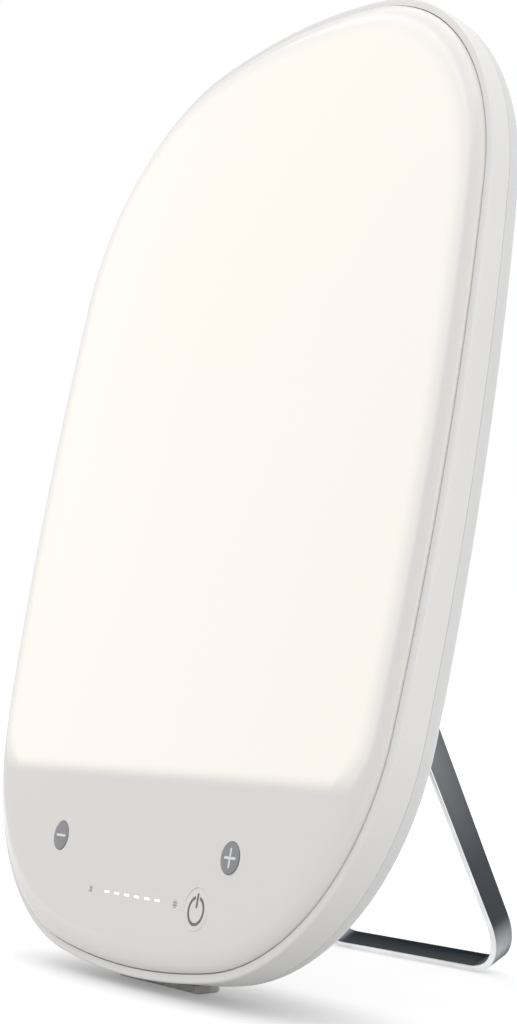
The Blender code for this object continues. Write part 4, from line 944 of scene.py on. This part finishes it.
def make_shell():
    rings = list(reversed(shell_rows(SHELL_WALL, REAR_INNER_STEPS)))
    rings.append(ring(RIM_OFFSET - PARTING_EDGE, PARTING_DEPTH + PARTING_GAP, wedge=True))
    outer = shell_rows(0.0, REAR_STEPS)
    outer[0] = ring(RIM_OFFSET, PARTING_DEPTH + PARTING_GAP + PARTING_EDGE, wedge=True)
    builder = bmesh.new()
    add_loft(builder, rings + outer)
    piece = add_piece(builder, "rear_shell", [SHELL], "panel", ["back_shell"])
    posts = bmesh.new()
    pillars = [(side * across * OUTLINE_TOP, along * OUTLINE_TOP)
               for side in (-1, 1) for across, along in PILLAR_SHARES]
    root = SHELL_WALL / 2
    for x, z in pillars:
        add_rod(posts, PILLAR_RADIUS, CHASSIS_BACK + SEAT_GAP, back_depth(z) - root, (x, z))
    add_back_rods(posts, BRACKET_SCREWS, BOSS_RADIUS, -root - BOSS_HEIGHT, -root)
    for x, z in DRIVER_CORNERS:
        add_rod(posts, STANDOFF_RADIUS, DRIVER_BACK + SEAT_GAP, back_depth(z) - root, (x, z))
    carve(piece, posts, "UNION")
    holes = bmesh.new()
    add_back_rods(holes, POSTS, SCREW_RADIUS + SEAT_GAP, -SHELL_WALL - CUT_MARGIN,
                  -COUNTERBORE_DEPTH / 2)
    carve(piece, holes)
    wells = bmesh.new()
    add_back_rods(wells, POSTS, HEAD_RADIUS + SEAT_GAP, -COUNTERBORE_DEPTH, CUT_MARGIN,
                  ROUND_STEPS)
    add_back_rods(wells, BRACKET_SCREWS, SCREW_RADIUS + SEAT_GAP, -BRACKET_SCREW_LENGTH,
                  CUT_MARGIN)
    for place in DRIVER_CORNERS:
        add_rod(wells, BOARD_SCREW_RADIUS + SEAT_GAP, DRIVER_BACK - CUT_MARGIN,
                DRIVER_BACK + 2 * CUT_MARGIN, place)
    z = zone_height(INLET_RISE_SHARE)
    add_rod(wells, INLET_RADIUS + SEAT_GAP, DRIVER_BACK, back_depth(z) + CUT_MARGIN,
            (INLET_PLACE, z), ROUND_STEPS)
    carve(piece, wells)


# Screws with a six-lobed recess.

def screw_profile(shaft, head, head_height, length):
    lobe = head * LOBE_SHARE
    inner = lobe * CROWN_MARGIN_SHARE
    rows = [(shaft * CAP_SHARE, -length), (shaft, -length + shaft * POINT_SHARE),
            (shaft, 0.0), (head * HEAD_SEAT_SHARE, 0.0),
            (head, head_height * HEAD_BRIM_SHARE)]
    for turn in quarter_turns(CROWN_STEPS, 1):
        height = HEAD_BRIM_SHARE + (1 - HEAD_BRIM_SHARE) * math.sin(turn)
        rows.append((head - (head - inner) * (1 - math.cos(turn)) * CROWN_SHARE,
                     head_height * height))
    rows.append((lobe, head_height, lobe * LOBE_TOP_SHARE))
    rows.append((lobe * RECESS_TAPER_SHARE, head_height - head_height * RECESS_DEPTH_SHARE,
                 lobe * LOBE_BOTTOM_SHARE))
    return rows


def add_screw(name, profile, place, node, matrix=PANEL):
    add_piece(turned(profile, place, steps=SCREW_STEPS), name, [SCREW], "panel", [node],
              matrix)


def make_screws():
    profile = screw_profile(SCREW_RADIUS, HEAD_RADIUS, HEAD_HEIGHT, SCREW_LENGTH)
    for i, (x, z) in enumerate(POSTS):
        seat = back_depth(z) - COUNTERBORE_DEPTH + SEAT_GAP
        add_screw(f"case_screw_lobed_{i + 1}", profile, (x, seat, z), f"case_screw_{i + 1}")
    bracket = PIVOT @ Matrix.Rotation(WEDGE, 4, "X")
    seat = 2 * SEAT_GAP - PIVOT_STANDOFF * math.cos(WEDGE) + BASE_THICKNESS
    profile = screw_profile(SCREW_RADIUS, BRACKET_HEAD_RADIUS, BRACKET_HEAD_HEIGHT,
                            BRACKET_SCREW_LENGTH)
    for side, label in SIDES:
        for i, z in enumerate((-BRACKET_SCREW_OFFSET, BRACKET_SCREW_OFFSET)):
            add_screw(f"hinge_screw_lobed_{label}_{i + 1}", profile,
                      (side * BRACKET_SCREW_X, seat, z), f"hinge_screw_{label}_{i + 1}",
                      bracket)


# Keys, signs and indicators.

def key_depths(name, x, z):
    """Depth of a key's face and of its flange's front, at rest."""
    seat = SEAT_GAP - front_height(x, z)
    proud = 0.0 if name == "power" else KEY_PROUD
    return seat - proud, seat + COVER_WALL + SEAT_GAP


def make_keys():
    for name, x, z, radius in KEYS:
        if name == "power":
            edge, materials, slot = POWER_EDGE, [POWER_FACE], "opal_cover"
        else:
            edge, materials, slot = KEY_EDGE, [KEY_FACE, KEY_RIM], "key_grey"
        face, under = key_depths(name, x, z)
        front = under - face
        rear = front + KEY_FLANGE_THICKNESS
        wide, narrow = (edge * share for share in KEY_EDGE_SHARES)
        profile = [(radius * CAP_SHARE, 0.0), (radius - edge, 0.0), (radius - wide, narrow),
                   (radius - narrow, wide), (radius, edge), (radius, front),
                   (radius + KEY_FLANGE, front), (radius + KEY_FLANGE, rear),
                   (STEM_RADIUS, rear), (STEM_RADIUS, KEY_BOTTOM - face)]
        piece = add_piece(turned(profile, (x, face, z)), name + "_key_cap", materials,
                          name + "_button", [name + "_key"])
        if KEY_RIM in materials:
            centre = PANEL @ Vector((x, face, z))
            for polygon in piece.data.polygons:
                if (polygon.center - centre).length > radius - edge * KEY_RIM_SHARE:
                    polygon.material_index = 1


def add_sign(name, outlines, face, material, body):
    builder = bmesh.new()
    for points in outlines:
        add_prism(builder, points, face - SIGN_HEIGHT, face + SIGN_SINK)
    add_piece(builder, name, [material], body)


def ring_band(x, z, radius, stroke, gap_degrees, steps):
    """An open ring with its gap at the top, as one closed outline."""
    half = math.radians(gap_degrees) / 2
    angles = [QUARTER + half + (math.tau - 2 * half) * i / steps for i in range(steps + 1)]
    points = []
    for reach, turns in ((radius + stroke / 2, angles),
                         (radius - stroke / 2, list(reversed(angles)))):
        points += [(x + reach * math.cos(a), z + reach * math.sin(a)) for a in turns]
    return points


def make_signs():
    places = {name: (x, z) for name, x, z, radius in KEYS}
    for name in ("minus", "plus"):
        x, z = places[name]
        face = key_depths(name, x, z)[0]
        bars = [rounded_bar(x, z, SIGN_BAR, SIGN_STROKE)]
        add_sign(name + "_sign", bars, face, SIGN_WHITE, name + "_button")
        if name == "plus":
            reach = (SIGN_BAR + SIGN_STROKE) / 4
            length = SIGN_BAR / 2 - SIGN_STROKE / 2
            bars = [rounded_bar(x, z + side * reach, SIGN_STROKE, length) for side in (-1, 1)]
            add_sign("plus_sign_upright", bars, face, SIGN_WHITE, "plus_button")
    x, z = places["power"]
    face = key_depths("power", x, z)[0]
    z -= POWER_SIGN_DROP
    bar = rounded_bar(x, z + (POWER_BAR_LOW + POWER_BAR_HIGH) / 2, POWER_STROKE,
                      POWER_BAR_HIGH - POWER_BAR_LOW)
    band = ring_band(x, z, POWER_RING, POWER_STROKE, POWER_GAP_ANGLE, SIGN_STEPS)
    add_sign("power_sign", [band, bar], face, SIGN_GREY, "power_button")


def make_icons():
    """Small suns: one with few rays at the dim end of the row, one with more at the other."""
    for side, name, count in ICONS:
        x = side * ICON_PLACE
        face = SEAT_GAP - front_height(x, INDICATOR_Z)
        outlines = [ring_band(x, INDICATOR_Z, ICON_SIZE * ICON_RING_SHARE,
                              ICON_SIZE * ICON_STROKE_SHARE, ICON_GAP_ANGLE, ICON_STEPS)]
        reach = ICON_SIZE * RAY_REACH_SHARE
        ray = ICON_SIZE * RAY_SHARE
        for i in range(count):
            angle = math.tau * (i + 0.5) / count
            outlines.append(rounded_bar(x + reach * math.cos(angle),
                                        INDICATOR_Z + reach * math.sin(angle),
                                        ray, ray, RAY_STEPS))
        add_sign(name, outlines, face, ICON_GREY, "panel")


def make_indicators():
    """The light pipe: a comb behind the cover whose fingers show as lit dashes."""
    face = SEAT_GAP - front_height(0.0, INDICATOR_Z)
    under = face + COVER_WALL + SEAT_GAP
    back = rounded_bar(0.0, INDICATOR_Z, INDICATOR_SPAN + COMB_OVERHANG, COMB_HEIGHT,
                       COMB_STEPS)
    builder = bmesh.new()
    add_prism(builder, back, under, under + COMB_THICKNESS)
    pipe = add_piece(builder, "indicator_comb", [ACRYLIC, DASH_LIGHT], "panel",
                     ["indicator_light_pipe"])
    fingers = bmesh.new()
    for x in INDICATORS:
        bar = rounded_bar(x, INDICATOR_Z, DASH_WIDTH, DASH_HEIGHT)
        add_prism(fingers, bar, face + SIGN_HEIGHT, BOARD_FRONT - COMB_END_GAP)
    carve(pipe, fingers, "UNION")
    limit = PANEL @ Vector((0.0, face + COVER_WALL, INDICATOR_Z))
    inward = PANEL.to_3x3() @ Vector((0.0, 1.0, 0.0))
    for polygon in pipe.data.polygons:
        if (polygon.center - limit).dot(inward) < 0:
            polygon.material_index = 1


# Stand and hinge pins.

def bar_section(half_width):
    """Rounded rectangle of the bar: across the wide face, then through its thickness."""
    reach = (half_width - BAR_EDGE, BAR_THICKNESS / 2 - BAR_EDGE)
    return rounded_box((0.0, 0.0), reach, BAR_EDGE, BAR_EDGE_STEPS)


def stand_stations():
    """Places along the bar from one eye to the other: x, z, heading and half width."""
    half = STAND_HALF_WIDTH - BAR_THICKNESS / 2
    drop = STAND_LENGTH - BAR_THICKNESS / 2
    radius = STAND_CORNER - BAR_THICKNESS / 2
    eye = BAR_WIDTH / 2
    foot = BAR_FOOT_WIDTH / 2
    first = []
    for step in range(EYE_STEPS):
        turn = QUARTER * (step + EYE_START) / (EYE_STEPS + EYE_START)
        width = max(eye * math.sin(turn), BAR_EDGE * EYE_END_SHARE)
        first.append((half, eye * math.cos(turn), 0.0, width))
    first.append((half, 0.0, 0.0, eye))
    for share in LEG_SHARES:
        first.append((half, -(drop - radius) * share, 0.0, eye + (foot - eye) * share))
    for turn in quarter_turns(STAND_CORNER_STEPS, 1):
        first.append((half - radius + radius * math.cos(turn),
                      radius - drop - radius * math.sin(turn), turn, foot))
    second = [(-x, z, math.pi - turn, width) for x, z, turn, width in reversed(first)]
    return first + second


def make_stand():
    swing = PIVOT @ Matrix.Rotation(TILT + LEAN, 4, "X")
    across = Vector((0.0, 1.0, 0.0))
    stations = stand_stations()
    rings = []
    for x, z, turn, half_width in stations:
        outward = Vector((math.cos(turn), 0.0, -math.sin(turn)))
        rings.append([Vector((x, 0.0, z)) + across * a + outward * b
                      for a, b in bar_section(half_width)])
    distances = [0.0]
    for first, second in zip(stations, stations[1:]):
        step = math.hypot(second[0] - first[0], second[1] - first[1])
        distances.append(distances[-1] + step)
    section = bar_section(BAR_WIDTH / 2)
    builder = bmesh.new()
    faces = add_loft(builder, rings,
                     uv=lambda row, column, place: (distances[row] / distances[-1],
                                                    section[column][0]))
    per_corner = BAR_EDGE_STEPS + 1
    wide = (per_corner - 1, 3 * per_corner - 1)
    for i, face in enumerate(faces[:-2]):
        face.material_index = 0 if i % len(section) in wide else 1
    piece = add_piece(builder, "stand_flat_bar", [STEEL_FACE_PAINTED_REFLECTION, STEEL_EDGE], "stand",
                      ["stand_bar"], swing)
    tool = bmesh.new()
    radius = PIN_RADIUS + RUNNING_GAP
    bmesh.ops.create_cone(tool, cap_ends=True, segments=ROUND_STEPS, radius1=radius,
                          radius2=radius, depth=2 * (STAND_HALF_WIDTH + CUT_MARGIN))
    bmesh.ops.transform(tool, matrix=ALONG_X, verts=tool.verts)
    carve(piece, tool, matrix=swing)


def make_pins():
    inner = EAR_INNER - SEAT_GAP
    reach = STAND_HALF_WIDTH + SEAT_GAP - inner
    head, thick = PIN_HEAD_RADIUS, PIN_HEAD_THICKNESS
    bevel = thick * PIN_BEVEL_SHARE
    profile = [(head * CAP_SHARE, -thick), (head - bevel, -thick), (head, bevel - thick),
               (head, 0.0), (PIN_RADIUS, 0.0), (PIN_RADIUS, reach), (head, reach)]
    for turn in quarter_turns(PIN_DOME_STEPS)[:-1]:
        height = PIN_BRIM_SHARE + (1 - PIN_BRIM_SHARE) * math.sin(turn)
        profile.append((head * math.cos(turn), reach + thick * height))
    for side, label in SIDES:
        rows = [(radius, side * height) for radius, height in profile]
        pin = turned(rows, (side * inner, 0.0, 0.0), ALONG_X, PIN_STEPS)
        add_piece(pin, "hinge_rivet_" + label, [PIN], "panel", ["hinge_pin_" + label],
                  PIVOT)


# CAD nodes that stay, with better materials.

def dress_nodes():
    dress = {
        "cover_gasket": FOAM, "diffuser_sheet": OPAL, "light_guide": ACRYLIC,
        "reflector_sheet": FILM, "chassis_plate": ALUMINIUM, "control_board": BOARD,
        "driver_board": BOARD, "dc_inlet": BLACK, "rubber_foot": FOOT,
    }
    for side, label in SIDES:
        dress["led_strip_" + label] = STRIP
        dress["led_lead_" + label] = LEAD
        dress["hinge_bracket_" + label] = BRACKET
        dress["friction_washer_" + label] = NYLON
    for name, x, z, radius in KEYS:
        dress["tact_switch_" + name] = BLACK
    for board in ("control", "driver"):
        for i in range(BOARD_SCREW_COUNT):
            dress[f"{board}_board_screw_{i + 1}"] = SCREW
    for name, material in dress.items():
        for slot in NODES[name].material_slots:
            slot.material = material


# Studio: floor, world, lights and camera.

def seen_directly(tree):
    """1 for rays that show the background: from the camera, a gloss or clear plastic."""
    path = add_node(tree, "ShaderNodeLightPath")
    seen = path.outputs["Is Camera Ray"]
    for kind in ("Is Glossy Ray", "Is Transmission Ray"):
        seen = maths(tree, "MAXIMUM", seen, path.outputs[kind])
    return seen


def make_floor():
    builder = bmesh.new()
    bmesh.ops.create_grid(builder, x_segments=FLOOR_STEPS, y_segments=FLOOR_STEPS,
                          size=FLOOR_HALF)
    mesh = bpy.data.meshes.new("studio_floor")
    builder.to_mesh(mesh)
    builder.free()
    floor = add_object("studio_floor", mesh)
    floor.location = (0.0, 0.0, -FLOOR_DROP)
    material, tree, shader = new_material("studio_white", FLOOR_COLOUR, FLOOR_ROUGHNESS)
    shader.inputs["Specular IOR Level"].default_value = FLOOR_GLOSS
    # The first fade's lower level near the lamp paints a shadow on the floor round its foot.
    fades = []
    for scale, shift, reaches, levels in FLOOR_GLOW_AND_PAINTED_SHADOW:
        reach = add_node(tree, "ShaderNodeVectorMath", operation="LENGTH")
        feed(tree, reach.inputs[0], coordinates(tree, "Object", (scale, 1.0, 1.0),
                                                (-shift * scale, 0.0, 0.0)))
        fades.append(map_range(tree, reach.outputs["Value"], reaches, levels, "SMOOTHSTEP"))
    lift = maths(tree, "MULTIPLY", seen_directly(tree), maths(tree, "ADD", *fades))
    shader.inputs["Emission Color"].default_value = (1.0, 1.0, 1.0, 1.0)
    feed(tree, shader.inputs["Emission Strength"], lift)
    mesh.materials.append(material)


def make_world():
    world = bpy.data.worlds.new("studio_world")
    bpy.context.scene.world = world
    world.use_nodes = True
    tree = world.node_tree
    background = tree.nodes["Background"]
    background.inputs["Color"].default_value = (1.0, 1.0, 1.0, 1.0)
    level = map_range(tree, seen_directly(tree), (0.0, 1.0), (WORLD_LEVEL, 1.0))
    feed(tree, background.inputs["Strength"], level)


def make_lights():
    for name, place, target, side, power in LIGHTS:
        light = bpy.data.lights.new(name, "AREA")
        light.shape = "RECTANGLE"
        light.size = light.size_y = side
        light.energy = power
        lamp = add_object(name, light)
        lamp.location = place
        aim = Vector(target) - Vector(place)
        lamp.rotation_euler = aim.to_track_quat("-Z", "Y").to_euler()


def make_camera():
    data = bpy.data.cameras.new("camera")
    data.lens = CAMERA_LENS
    data.sensor_width = CAMERA_SENSOR
    data.clip_start, data.clip_end = CAMERA_CLIP
    camera = add_object("camera", data)
    camera.location = CAMERA_PLACE
    camera.rotation_euler = (math.radians(90 + CAMERA_PITCH), 0.0,
                             math.radians(CAMERA_AZIMUTH))
    bpy.context.scene.camera = camera


make_camera()
make_cover()
make_frame()
make_shell()
make_screws()
make_keys()
make_signs()
make_icons()
make_indicators()
make_stand()
make_pins()
dress_nodes()
make_floor()
make_world()
make_lights()
bpy.context.scene.view_settings.view_transform = "Standard"
